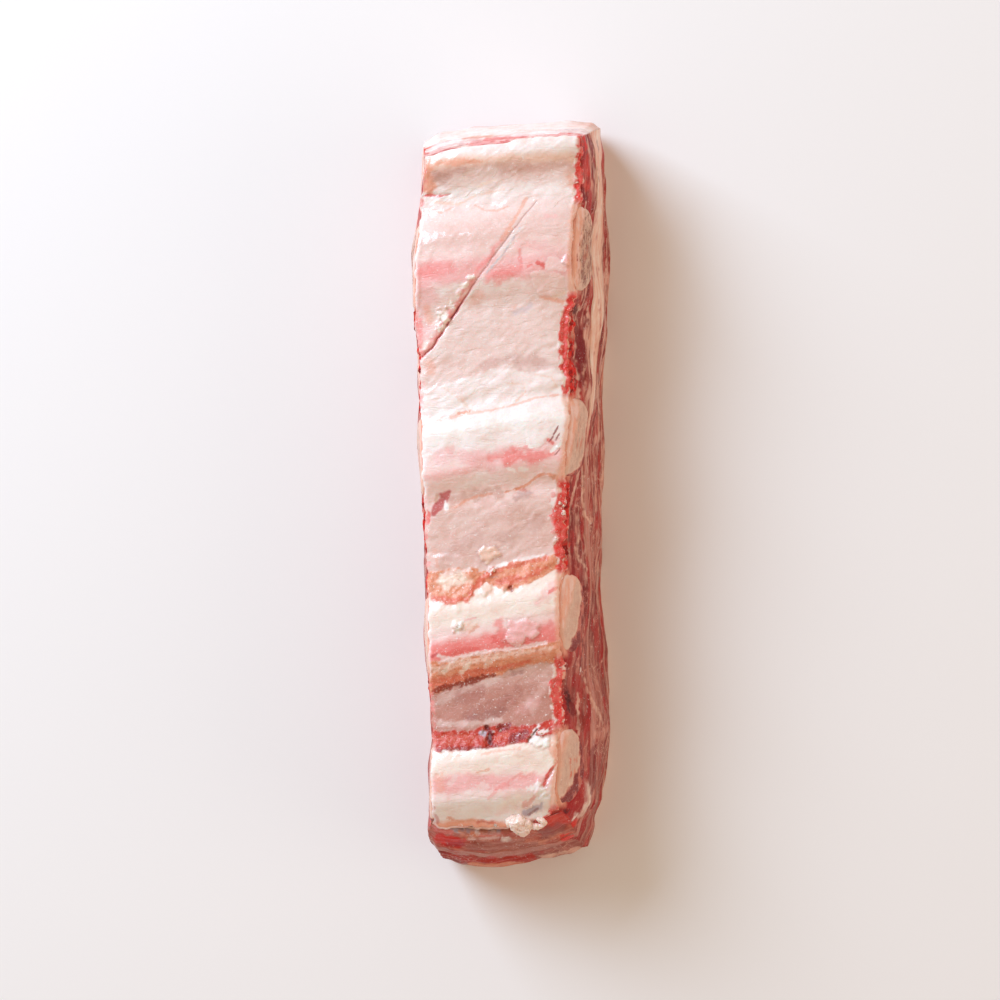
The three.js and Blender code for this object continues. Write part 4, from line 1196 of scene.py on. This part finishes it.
def makeBoneTree():
    section = {"Half Width": 0.013, "Crown": 0.0045, "Belly": 0.01}
    wire, given = newShapeTree("ribBone", {**section, **boneSize["rings"]})
    calc = wire.calc
    rows = calc("ADD", calc("MULTIPLY", given["Face Rings"], 2.0), given["Shaft Rings"])
    corners = {"Vertices X": calc("ADD", given["Around"], 1.0), "Vertices Y": calc("ADD", rows, 1.0)}
    grid = wire.add("GeometryNodeMeshGrid", {"Size X": 1.0, "Size Y": 1.0, **corners})["Mesh"]
    place = wire.add("ShaderNodeSeparateXYZ", {0: wire.add("GeometryNodeInputPosition")[0]})
    turn = calc("MULTIPLY", calc("ADD", place["X"], 0.5), 2 * math.pi)
    step = calc("MULTIPLY", calc("ADD", place["Y"], 0.5), rows)
    fromEnd = calc("MINIMUM", step, calc("SUBTRACT", rows, step))
    radial = calc("MINIMUM", calc("DIVIDE", fromEnd, given["Face Rings"]), 1.0)
    share = calc("DIVIDE", calc("SUBTRACT", step, given["Face Rings"]), given["Shaft Rings"])
    share = calc("MINIMUM", calc("MAXIMUM", share, 0.0), 1.0)
    # the section: rounded flanks, a flat crown and a deeper belly
    c, s = calc("COSINE", turn), calc("SINE", turn)
    side = calc("MULTIPLY", calc("SIGN", c), calc("POWER", calc("ABSOLUTE", c), 0.85))
    side = calc("MULTIPLY", calc("MULTIPLY", side, given["Half Width"]), radial)
    upper = calc("MULTIPLY", calc("POWER", calc("MAXIMUM", s, 0.0), 0.45), given["Crown"])
    lower = calc("POWER", calc("MAXIMUM", calc("MULTIPLY", s, -1.0), 0.0), 0.9)
    rim = calc("SUBTRACT", upper, calc("MULTIPLY", lower, given["Belly"]))
    heart = calc("MULTIPLY", calc("SUBTRACT", given["Crown"], given["Belly"]), 0.5)  # middle of the sawn face
    height = calc("ADD", heart, calc("MULTIPLY", calc("SUBTRACT", rim, heart), radial))
    marrow = {"Geometry": grid, "Name": "marrow", "Value": calc("SUBTRACT", 1.0, radial)}
    marked = wire.add("GeometryNodeStoreNamedAttribute", marrow, data_type="FLOAT", domain="POINT")[0]
    moved = wire.move(marked, Position=wire.xyz(X=share, Y=side, Z=height))
    merged = wire.add("GeometryNodeMergeByDistance", {"Geometry": moved, "Distance": 0.00001})[0]
    return finishShape(wire, given, merged)


def settleBone(mesh, rib, look, seed):  # bends the straight shaft into its place between the cut sides
    edgeDepth, proud, spongy = boneSize["edgeDepth"], boneSize["proud"], look["spongy"]
    local = pointsOf(mesh) + (*blockPlace, 0)
    share, side, height = local[:, 0] * mm, local[:, 1], local[:, 2]
    marrow = np.empty(len(local), np.float32)
    mesh.attributes["marrow"].data.foreach_get("value", marrow)
    x = mix(-30, 20, share)
    for _ in range(5):
        y = ribLine(rib, x) + side
        z = skinBottom(x, ribLine(rib, x)) - boneSize["underSkin"] - edgeDepth + height
        x = mix(leftSide(y, z) - proud, rightSide(y, z) + proud, share)
    outward = (share > 0.9999) * 1.0 - (share < 0.0001) * 1.0
    inFace = smooth(0.02, 0.16, marrow)
    pores = np.clip(cloud(x, y, z, (0.9, 1.6, 0.9), seed) - 0.1, 0, 1) * 0.55 * spongy
    saw = 0.05 * np.sin(y * 5 + 0.7 * z)
    roundRim = 0.5 * smooth(0.07, 0.0, marrow)
    x = x + outward * (0.12 * cloud(x, y, z, 5, seed + 2) + saw * inFace - pores * inFace - roundRim)
    movePoints(mesh, np.stack([x, y, z], 1))
    streak = cloud(x, y, z, (2, 4.5, 1.4), seed + 3)
    centre = smooth(0.12, 0.5, marrow + 0.15 * noise(x, y, z, 3, seed + 4))
    ground = np.tile(tones["bone"], (len(local), 1))
    layOn(ground, smooth(-0.2, 0.6, streak) * 0.4, "marrow")
    layOn(ground, centre * spongy * 0.8, "sponge")
    pits = smooth(0.1, 0.5, cloud(x, y, z, (0.7, 1.8, 0.7), seed + 5))
    layOn(ground, inFace * pits * spongy * 0.8, "speck")
    bloody = smooth(0.3, 0.6, cloud(x, y, z, (1, 2.6, 0.8), seed + 8))
    layOn(ground, inFace * bloody * spongy * 0.6, "maroon")
    layOn(ground, hump(marrow, 0.8, 0.14) * smooth(0.1, 0.6, streak) * look["marrowy"], "rust")
    place = side / rib["half"]
    below = edgeDepth - height + 0.7 * cloud(x, y, z, (2, 2.6, 2), seed + 6)
    pastStart, pastEnd = below - along(look["bare"], place), below - along(look["bare"], place, 2)
    layOn(ground, smooth(2.2, -1.4, pastStart) * 0.9, "rim")
    layOn(ground, smooth(0.4, -0.4, pastStart) * smooth(-0.3, 0.5, streak) * 0.7, "blush")
    layOn(ground, smooth(-1.0, -0.3, pastEnd) * smooth(0.8, -0.1, pastEnd) * 0.4, "wax")
    layOn(ground, smooth(-0.2, 0.5, pastEnd), "tissue")
    layOn(ground, smooth(0.2, 1, pastEnd) * smooth(-0.3, 0.3, streak), "muscleDark")
    paint(mesh, ground, wet=0.3, crumbly=0)


def joinMeshes(name, meshes):
    things = [makeObject(f"{name}{n}", mesh) for n, mesh in enumerate(meshes)]
    joined = things[0]
    with bpy.context.temp_override(active_object=joined, selected_editable_objects=things, object=joined):
        bpy.ops.object.join()
    joined.name = joined.data.name = name
    return joined


def makeBones(material):
    tree, depth, meshes = makeBoneTree(), boneSize["edgeDepth"], []
    for n, (rib, look) in enumerate(zip(ribs, faceLooks)):
        sizes = {"Half Width": rib["half"] * mm, "Crown": depth * mm, "Belly": (rib["thick"] - depth) * mm}
        carrier = makeObject("boneCarrier", bpy.data.meshes.new("boneCarrier"))
        mesh = applyTree(carrier, tree, {**sizes, **boneSize["rings"], "Material": material}, f"bone{n + 1}")
        bpy.data.objects.remove(carrier)
        settleBone(mesh, rib, look, 300 + 20 * n)
        meshes.append(mesh)
    return joinMeshes("ribBones", meshes)


def scatterOn(wire, given, density, shape, rotation, scale):  # real copies of a shape, over the carrier
    values = {"Mesh": given["Geometry"], "Density": density, "Seed": given["Seed"]}
    points = wire.add("GeometryNodeDistributePointsOnFaces", values)["Points"]
    values = {"Points": points, "Instance": shape, "Rotation": rotation, "Scale": scale}
    return wire.realise(wire.add("GeometryNodeInstanceOnPoints", values)[0])


# crumbs of fat, where the carrier's "crumbs" mask is painted
crumbSize = {"Density": 460000.0, "Size": 0.0009, "Spread": 0.75, "Lumpiness": 0.7, "Seed": 4}


def makeCrumbTree():
    wire, given = newShapeTree("fatCrumbs", crumbSize)
    calc, seed, size = wire.calc, given["Seed"], given["Size"]
    density = calc("MULTIPLY", calc("POWER", wire.stored("crumbs"), 2.0), given["Density"])
    crumb = wire.add("GeometryNodeMeshIcoSphere", {"Radius": 0.5, "Subdivisions": 2})["Mesh"]
    turns = {0: (0.0, 0.0, 0.0), 1: (6.28, 6.28, 6.28), "Seed": seed}
    roll = wire.add("FunctionNodeRandomValue", turns, data_type="FLOAT_VECTOR")[0]
    # most crumbs are small and a few are large
    pick = calc("POWER", wire.random(0.0, 1.0, calc("ADD", seed, 7.0)), 3.0)
    least = calc("SUBTRACT", 1.0, calc("MULTIPLY", given["Spread"], 0.8))
    grow = calc("ADD", calc("MULTIPLY", pick, calc("MULTIPLY", given["Spread"], 2.4)), least)
    scale = calc("MULTIPLY", grow, size)
    flat = wire.xyz(X=scale, Y=calc("MULTIPLY", scale, 0.6), Z=calc("MULTIPLY", scale, 0.4))
    crumbs = scatterOn(wire, given, density, crumb, roll, flat)
    lumps = calc("MULTIPLY", calc("MULTIPLY", given["Lumpiness"], size), 3.0)
    return finishShape(wire, given, wire.move(crumbs, Offset=wire.wander(lumps, 1400.0)))


def makeCrumbs(carrier, material):
    values = {**crumbSize, "Material": material}
    return makeObject("fatCrumbs", applyTree(carrier, makeCrumbTree(), values, "fatCrumbs"))


# fine sinews that follow the membrane where the "sinews" mask is painted
sinewSize = {"Density": 26000.0, "Length": 0.007, "Radius": 0.00009, "Wobble": 0.0016, "Seed": 9}


def makeSinewTree():
    wire, given = newShapeTree("sinews", sinewSize)
    calc, seed = wire.calc, given["Seed"]
    half = calc("MULTIPLY", given["Length"], 0.5)
    ends = {"Start": wire.xyz(X=calc("MULTIPLY", half, -1.0)), "End": wire.xyz(X=half)}
    strand = wire.add("GeometryNodeCurvePrimitiveLine", ends)["Curve"]
    density = calc("MULTIPLY", wire.stored("sinews"), given["Density"])
    turn, grow = wire.xyz(Z=wire.random(0.1, 1.1, seed)), wire.random(0.4, 1.3, calc("ADD", seed, 3.0))
    strands = scatterOn(wire, given, density, strand, turn, grow)
    stepped = wire.add("GeometryNodeResampleCurve", {"Curve": strands, "Count": 9})[0]
    swayed = wire.move(stepped, Offset=wire.wander(calc("MULTIPLY", given["Wobble"], 2.0), 380.0))
    nearest = wire.add("GeometryNodeProximity", {"Geometry": given["Geometry"]}, target_element="FACES")
    laid = wire.move(swayed, Position=nearest["Position"])
    part = wire.add("GeometryNodeSplineParameter")["Factor"]
    bow = calc("SINE", calc("MULTIPLY", calc("ADD", calc("MULTIPLY", part, 0.96), 0.02), math.pi))
    ring = {"Resolution": 5, "Radius": given["Radius"]}
    profile = wire.add("GeometryNodeCurvePrimitiveCircle", ring)["Curve"]
    values = {"Curve": laid, "Profile Curve": profile, "Scale": calc("POWER", bow, 0.6), "Fill Caps": True}
    return finishShape(wire, given, wire.add("GeometryNodeCurveToMesh", values)[0])


def makeSinews(carrier, material):
    values = {**sinewSize, "Material": material}
    return makeObject("sinews", applyTree(carrier, makeSinewTree(), values, "sinews"))


# the knob of fat at the near end: lobes and a curl of beads, melted into one lump
knobSize = {
    "lobes": [
        (-0.6, -112.8, 2), (1.2, -113.4, 2.6), (2.6, -112.4, 2.4), (3.8, -115.4, 2.3), (2.4, -114.8, 2.4),
        (4.8, -113.6, 2), (0.6, -111.8, 1.8),
    ],
    "ring": {
        "centre": (8.2, -113), "across": 2.7, "along": 1.5, "beads": 22, "thick": 0.85,
        "from": -2.6, "to": 1.3,
    },
    "melt": {"Voxel": 0.00026, "Smoothing": 4, "Lumpiness": 0.0026},
}


def makeKnobTree():
    wire, given = newShapeTree("fatKnob", knobSize["melt"])
    radius = wire.stored("lobe")
    points = wire.add("GeometryNodeMeshToPoints", {"Mesh": given["Geometry"], "Radius": radius})[0]
    values = {"Points": points, "Voxel Size": given["Voxel"], "Radius": radius}
    volume = wire.add("GeometryNodePointsToVolume", values, resolution_mode="VOXEL_SIZE")[0]
    skin = wire.add("GeometryNodeVolumeToMesh", {"Volume": volume, "Threshold": 0.1})[0]
    values = {"Value": wire.add("GeometryNodeInputPosition")[0], "Iterations": given["Smoothing"]}
    melted = wire.add("GeometryNodeBlurAttribute", values, data_type="FLOAT_VECTOR")[0]
    bumps = wire.wander(given["Lumpiness"], 420.0, 4.0, 0.72)
    return finishShape(wire, given, wire.move(skin, Position=melted, Offset=bumps))


def makeKnob(material):
    ring = knobSize["ring"]
    hook = [
        (ring["centre"][0] + ring["across"] * math.cos(turn) * (1 + 0.12 * math.sin(5 * turn)),
         ring["centre"][1] + ring["along"] * math.sin(turn), ring["thick"] * (1 + 0.3 * math.sin(3 * turn)))
        for turn in np.linspace(ring["from"], ring["to"], ring["beads"])
    ]
    x, y, radius = np.array([*knobSize["lobes"], *hook]).T
    level = skinTop(x, np.maximum(y, -117)) + radius * 0.25
    carrier = makeObject("knobSeeds", makeMesh("knobSeeds", np.stack([x, y, level], 1), []))
    sizes = carrier.data.attributes.new("lobe", "FLOAT", "POINT")
    sizes.data.foreach_set("value", (radius * mm).astype(np.float32))
    mesh = applyTree(carrier, makeKnobTree(), {**knobSize["melt"], "Material": material}, "fatKnob")
    bpy.data.objects.remove(carrier)
    return makeObject("fatKnob", mesh)


# shared surface effects; scales are per metre
def newEffect(name, inputs, *outputs):
    kinds = {label: "Color" if label == "Colour" else "Float" for label in outputs}
    wire, given = newTree(name, "ShaderNodeTree", inputs, kinds)
    return wire, wire.calc, given, wire.add("ShaderNodeTexCoord")["Object"]


def makeSpeckleGroup():  # fine moist grain: a height and a roughness that change together
    inputs = {"Scale": 900.0, "Wet": 0.2, "Dry": 0.5}
    wire, calc, given, where = newEffect("moistGrain", inputs, "Height", "Roughness")
    fine = wire.noise(where, given["Scale"], 3.0, 0.55)[0]
    broad = wire.noise(where, calc("MULTIPLY", given["Scale"], 0.16))[0]
    both = calc("ADD", calc("MULTIPLY", fine, 0.35), calc("MULTIPLY", broad, 0.65))
    return wire.finish(Height=fine, Roughness=wire.remap(both, 0.38, 0.62, given["Wet"], given["Dry"]))


def makeGrainGroup():  # layered fibres, thin in height and long in both other directions
    inputs = {"Fineness": 900.0, "Stretch": 9.0, "Contrast": 0.6}
    wire, calc, given, where = newEffect("meatGrain", inputs, "Mask", "Height")
    flow = calc("DIVIDE", given["Fineness"], given["Stretch"])
    drawn = wire.vectorMath("MULTIPLY", {0: where, 1: wire.xyz(X=flow, Y=flow, Z=given["Fineness"])})
    fibres = wire.noise(drawn, 1.0, 4.0, 0.6, 0.6)[0]
    spread = calc("MULTIPLY", calc("SUBTRACT", 1.0, given["Contrast"]), 0.35)
    mask = wire.remap(fibres, calc("SUBTRACT", 0.5, spread), calc("ADD", 0.56, spread))
    return wire.finish(Mask=mask, Height=fibres)


def makeVeinGroup():  # marbling: thin curling veins that come and go
    wire, calc, given, where = newEffect("marbling", {"Scale": 120.0, "Width": 0.03, "Amount": 0.5}, "Mask")
    curl = wire.noise(where, given["Scale"], 3.0, 0.5, 1.4)[0]
    line = wire.remap(calc("ABSOLUTE", calc("SUBTRACT", curl, 0.5)), given["Width"], 0.0)
    patches = wire.noise(where, calc("MULTIPLY", given["Scale"], 0.45), 1.0)[0]
    more = calc("MULTIPLY", given["Amount"], 0.3)
    there = wire.remap(patches, calc("SUBTRACT", 0.62, more), calc("SUBTRACT", 0.72, more))
    return wire.finish(Mask=calc("MULTIPLY", line, there))


def makeMottleGroup():  # deepens a colour in soft blotches and lightens it in specks
    inputs = {"Colour": (1, 1, 1, 1), "Scale": 150.0, "Deepen": 0.3, "Specks": 0.2}
    wire, calc, given, where = newEffect("mottle", inputs, "Colour")
    blotches = wire.noise(where, given["Scale"], 5.0, 0.65)[0]
    much = wire.remap(blotches, 0.46, 0.66, 0.0, given["Deepen"])
    deeper = wire.blend(much, given["Colour"], (0.86, 0.6, 0.52, 1), "MULTIPLY")
    specks = wire.noise(where, calc("MULTIPLY", given["Scale"], 9.0), 2.0, 0.6)[0]
    light = wire.remap(specks, 0.56, 0.7, 0.0, given["Specks"])
    return wire.finish(Colour=wire.blend(light, deeper, (1.0, 0.86, 0.78, 1)))


def makeCrumbleGroup():  # granular fat: pale grains, deep gaps between them and a height
    inputs = {"Scale": 700.0, "Amount": 0.0}
    wire, calc, given, where = newEffect("crumble", inputs, "Grains", "Gaps", "Height")
    coarse = wire.noise(where, given["Scale"], 4.0, 0.7, 0.4)[0]
    grains, gaps = wire.remap(coarse, 0.54, 0.64), wire.remap(coarse, 0.45, 0.34)
    parts = {"Grains": grains, "Gaps": gaps, "Height": coarse}
    return wire.finish(**{label: calc("MULTIPLY", part, given["Amount"]) for label, part in parts.items()})


def makeGlintGroup():  # painted highlights: a mask of tiny flecks that stand for wet beads catching the light, more of them where it is wetter
    wire, calc, given, where = newEffect("glints", {"Scale": 1100.0, "Wetness": 0.4}, "Mask")
    beads = wire.noise(where, given["Scale"], 1.0)[0]
    patches = wire.noise(where, calc("MULTIPLY", given["Scale"], 0.14))[0]
    level = calc("SUBTRACT", 0.69, calc("MULTIPLY", given["Wetness"], 0.09))
    bead = wire.remap(beads, level, calc("ADD", level, 0.1))
    return wire.finish(Mask=calc("MULTIPLY", bead, wire.remap(patches, 0.44, 0.54)))


def makeWrinkleGroup():  # fine creases that run up to the right across the strip
    wire, calc, given, where = newEffect("wrinkles", {"Scale": 400.0}, "Height")
    values = {"Vector": where, "Rotation": (0, 0, -0.62), "Scale": (0.36, 1.0, 1.0)}
    folds = wire.noise(wire.add("ShaderNodeMapping", values)[0], given["Scale"], 3.0, 0.6, 0.8)[0]
    crease = calc("SUBTRACT", 1.0, calc("MULTIPLY", calc("ABSOLUTE", calc("SUBTRACT", folds, 0.5)), 5.0))
    return wire.finish(Height=calc("ADD", calc("MULTIPLY", crease, 0.4), folds))


effects = {
    "wrinkles": makeWrinkleGroup(),
    "grain": makeSpeckleGroup(),
    "fibres": makeGrainGroup(),
    "veins": makeVeinGroup(),
    "mottle": makeMottleGroup(),
    "crumble": makeCrumbleGroup(),
    "glints": makeGlintGroup(),
}


# finishes, with lengths in metres and scales per metre
# mottle: scale, deepening, specks; fibres: colour, fineness, stretch, contrast, strength;
# veins: colour, scale, width, amount; crumble: colour of grains and of gaps, scale, height;
# wrinkles: scale, height; grain: scale, roughness where wet and where dry, height; glints, painted highlight
# flecks: scale, strength
finishes = {
    "moistMembrane": {
        "mottle": (170.0, 0.3, 0.22), "crumble": ((255, 224, 200), (170, 56, 34), 640.0, 0.0005),
        "wrinkles": (420.0, 0.00016), "grain": (1500.0, 0.3, 0.55, 0.00006), "glints": (1150.0, 0.6),
        "subsurface": 0.2, "reach": 0.002, "coat": 0.5, "shine": 0.5,
    },
    "redMeat": {
        "mottle": (220.0, 0.45, 0.08), "fibres": ((196, 128, 122), 900.0, 5.0, 0.5, 0.7),
        "veins": ((226, 150, 130), 170.0, 0.018, 0.15), "grain": (1300.0, 0.3, 0.55, 0.00014),
        "glints": (1150.0, 0.3), "subsurface": 0.12, "reach": 0.0015, "coat": 0.05, "shine": 0.15,
    },
    "seamFat": {
        "mottle": (200.0, 0.4, 0.15), "fibres": ((240, 204, 192), 1000.0, 8.0, 0.5, 0.7),
        "grain": (1200.0, 0.3, 0.55, 0.0001), "glints": (1150.0, 0.3),
        "subsurface": 0.2, "reach": 0.002, "coat": 0.1, "shine": 0.3,
    },
    "marbledMeat": {
        "mottle": (180.0, 0.5, 0.1), "fibres": ((196, 132, 124), 800.0, 6.0, 0.45, 0.75),
        "veins": ((228, 176, 156), 140.0, 0.022, 0.4), "grain": (1200.0, 0.3, 0.55, 0.00014),
        "glints": (1150.0, 0.35), "subsurface": 0.12, "reach": 0.0015, "coat": 0.05, "shine": 0.15,
    },
    "sawnBone": {
        "mottle": (260.0, 0.4, 0.2), "grain": (1800.0, 0.35, 0.6, 0.00012), "glints": (1200.0, 0.4),
        "subsurface": 0.1, "reach": 0.0015, "coat": 0.1, "shine": 0.3,
    },
    "looseFat": {
        "base": (255, 226, 212), "mottle": (420.0, 0.4, 0.3), "grain": (1600.0, 0.25, 0.45, 0.0001),
        "subsurface": 0.25, "reach": 0.002, "coat": 0.3, "shine": 0.4,
    },
    "sinew": {
        "base": (250, 232, 214), "mottle": (300.0, 0.3, 0.2), "grain": (1500.0, 0.3, 0.45, 0.0001),
        "subsurface": 0.2, "reach": 0.001, "coat": 0.3, "shine": 0.4,
    },
}


def makeFinish(name):
    look = finishes[name]
    material = bpy.data.materials.new(name)
    material.use_nodes = True
    wire = Wiring(material.node_tree)
    calc, blend = wire.calc, wire.blend

    def painted(label, output="Fac"):
        return wire.add("ShaderNodeAttribute", attribute_name=label)[output]

    def effect(label, **values):
        return wire.add("ShaderNodeGroup", values, node_tree=effects[label])

    ground = rgb(*look["base"]) if "base" in look else painted("ground", "Color")
    scale, deepen, specks = look["mottle"]
    colour = effect("mottle", Colour=ground, Scale=scale, Deepen=deepen, Specks=specks)["Colour"]
    heights = []
    if "fibres" in look:
        tint, fineness, stretch, contrast, strength = look["fibres"]
        fibres = effect("fibres", Fineness=fineness, Stretch=stretch, Contrast=contrast)
        colour = blend(calc("MULTIPLY", fibres["Mask"], strength), colour, rgb(*tint), "MULTIPLY")
        heights.append((fibres["Height"], look["grain"][3]))
    if "veins" in look:
        tint, scale, width, amount = look["veins"]
        veins = effect("veins", Scale=scale, Width=width, Amount=amount)
        colour = blend(calc("MULTIPLY", veins["Mask"], 0.7), colour, rgb(*tint))
    if "crumble" in look:
        grainTint, gapTint, scale, tall = look["crumble"]
        crumble = effect("crumble", Scale=scale, Amount=painted("crumbly"))
        colour = blend(calc("MULTIPLY", crumble["Gaps"], 0.75), colour, rgb(*gapTint))
        colour = blend(calc("MULTIPLY", crumble["Grains"], 0.3), colour, rgb(*grainTint))
        heights.append((crumble["Height"], tall))
    scale, wet, dry, tall = look["grain"]
    grain = effect("grain", Scale=scale, Wet=wet, Dry=dry)
    heights.append((grain["Height"], tall))
    if "wrinkles" in look:
        scale, tall = look["wrinkles"]
        heights.append((effect("wrinkles", Scale=scale)["Height"], tall))
    # painted highlights: the glint flecks turn the colour near white
    if "glints" in look:
        scale, strength = look["glints"]
        flecks = effect("glints", Scale=scale, Wetness=painted("wet"))["Mask"]
        colour = blend(calc("MULTIPLY", flecks, strength), colour, rgb(255, 250, 246))
    total = 0.0
    for height, tall in heights:
        total = calc("MULTIPLY_ADD", height, tall * 1000, total)  # in millimetres
    coat = look["coat"]
    if "crumble" in look:  # crumbly fat is duller than wet skin
        coat = calc("MULTIPLY", calc("POWER", calc("SUBTRACT", 1.0, painted("crumbly")), 3.0), coat)
    wire.feed(wire.tree.nodes["Principled BSDF"].inputs, {
        "Base Color": colour,
        "Roughness": grain["Roughness"],
        "Normal": wire.add("ShaderNodeBump", {"Strength": 1.0, "Distance": mm, "Height": total})[0],
        "Subsurface Weight": look["subsurface"],
        "Subsurface Radius": (1.0, 0.4, 0.3),
        "Subsurface Scale": look["reach"],
        "Coat Weight": coat,
        "Coat Roughness": 0.05,
        "Specular IOR Level": look["shine"],
    })
    return material


# the pieces
membrane = makeObject("membraneSkin", makeMembrane(), makeFinish("moistMembrane"))
print("membrane:", len(membrane.data.vertices), "vertices")
ribMeat = makeObject("ribMeat", makeRibMeat(), makeFinish("redMeat"))
fatFinish = makeFinish("seamFat")
fatSeam = makeObject("fatSeam", makeFatSeam(), fatFinish)
outerMeat = makeObject("outerMeat", makeOuterMeat(), makeFinish("marbledMeat"))
fatCap = makeObject("fatCap", makeFatCap(), fatFinish)
print("meat and fat layers made")
bones = makeBones(makeFinish("sawnBone"))
print("bones:", len(bones.data.vertices), "vertices")
looseFat = makeFinish("looseFat")
crumbs = makeCrumbs(membrane, looseFat)
sinews = makeSinews(membrane, makeFinish("sinew"))
knob = makeKnob(looseFat)
for piece in (crumbs, sinews, knob):
    print(piece.name + ":", len(piece.data.polygons), "faces")

parts = [
    (membrane, ["membrane"], "membrane"),
    (ribMeat, ["rib_meat"], "rib_meat"),
    (fatSeam, ["fat_seam"], "fat"),
    (outerMeat, ["outer_meat"], "outer_meat"),
    (fatCap, ["fat_cap"], "fat"),
    (bones, ["rib_bone_1", "rib_bone_2", "rib_bone_3", "rib_bone_4"], "bone"),
    (crumbs, [], "fat"),
    (sinews, [], "membrane"),
    (knob, [], "fat"),
]
for piece, nodes, slot in parts:
    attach(piece, "root")
    if nodes:
        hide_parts(*nodes)

# floor, light and camera, in metres
studio = {
    "floorColour": (243, 240, 238),
    "floorHalf": 3.0,
    "skyColour": (1.0, 0.8, 0.62, 1.0),
    "skyStrength": 0.55,
    "keyColour": (0.64, 0.8, 1.0),
    "keyPower": 37.0,
    "keySize": 1.0,
    "keyPlace": (-1.05, 1.0, 0.95),
    "fillColour": (1.0, 0.82, 0.7),
    "fillPower": 5.0,
    "fillSize": 1.0,
    "fillPlace": (1.5, -0.3, 0.45),
    "lampAim": (0, 0, 0.02),
}
# the aim is in the strip's millimetres and the leans are in degrees
view = {
    "aim": (-3.77, -1.36, 50),
    "distance": 1.4,
    "leanRight": 6.0,
    "leanNear": 0.3,
    "field": 0.345,
    "sensor": 36.0,
}


def makeFloor():
    mesh = bpy.data.meshes.new("floor")
    half = studio["floorHalf"]
    corners = [(-half, -half, 0), (half, -half, 0), (half, half, 0), (-half, half, 0)]
    mesh.from_pydata(corners, [], [(0, 1, 2, 3)])
    material = bpy.data.materials.new("paleTable")
    material.use_nodes = True
    shader = material.node_tree.nodes["Principled BSDF"]
    shader.inputs["Base Color"].default_value = rgb(*studio["floorColour"])
    shader.inputs["Roughness"].default_value = 0.6
    floor = makeObject("floor", mesh, material)


def makeLight(name):
    lamp = bpy.data.lights.new(name, "AREA")
    lamp.shape = "SQUARE"
    lamp.size = studio[name + "Size"]
    lamp.energy = studio[name + "Power"]
    lamp.color = studio[name + "Colour"]
    thing = bpy.data.objects.new(name, lamp)
    thing.location = studio[name + "Place"]
    thing.rotation_euler = (thing.location - Vector(studio["lampAim"])).to_track_quat("Z", "Y").to_euler()
    bpy.context.scene.collection.objects.link(thing)


def makeCamera():
    camera = bpy.data.cameras.new("camera")
    camera.sensor_width = view["sensor"]
    camera.lens = view["sensor"] * view["distance"] / view["field"]
    lean = [math.tan(math.radians(view[side])) for side in ("leanRight", "leanNear")]
    back = Vector((lean[0], -lean[1], 1)).normalized()
    right = Vector((0, 1, 0)).cross(back).normalized()
    up = back.cross(right)
    thing = bpy.data.objects.new("camera", camera)
    aim = (Vector(view["aim"]) + Vector((*blockPlace, 0))) * mm
    place = aim + back * view["distance"]
    thing.matrix_world = Matrix.Translation(place) @ Matrix((right, up, back)).transposed().to_4x4()
    bpy.context.scene.collection.objects.link(thing)
    bpy.context.scene.camera = thing


makeFloor()
makeLight("key")
makeLight("fill")
world = bpy.data.worlds.new("room")
world.use_nodes = True
sky = world.node_tree.nodes["Background"].inputs
sky["Color"].default_value = studio["skyColour"]
sky["Strength"].default_value = studio["skyStrength"]
bpy.context.scene.world = world
bpy.context.scene.view_settings.view_transform = "Standard"
makeCamera()
print("camera and light set")
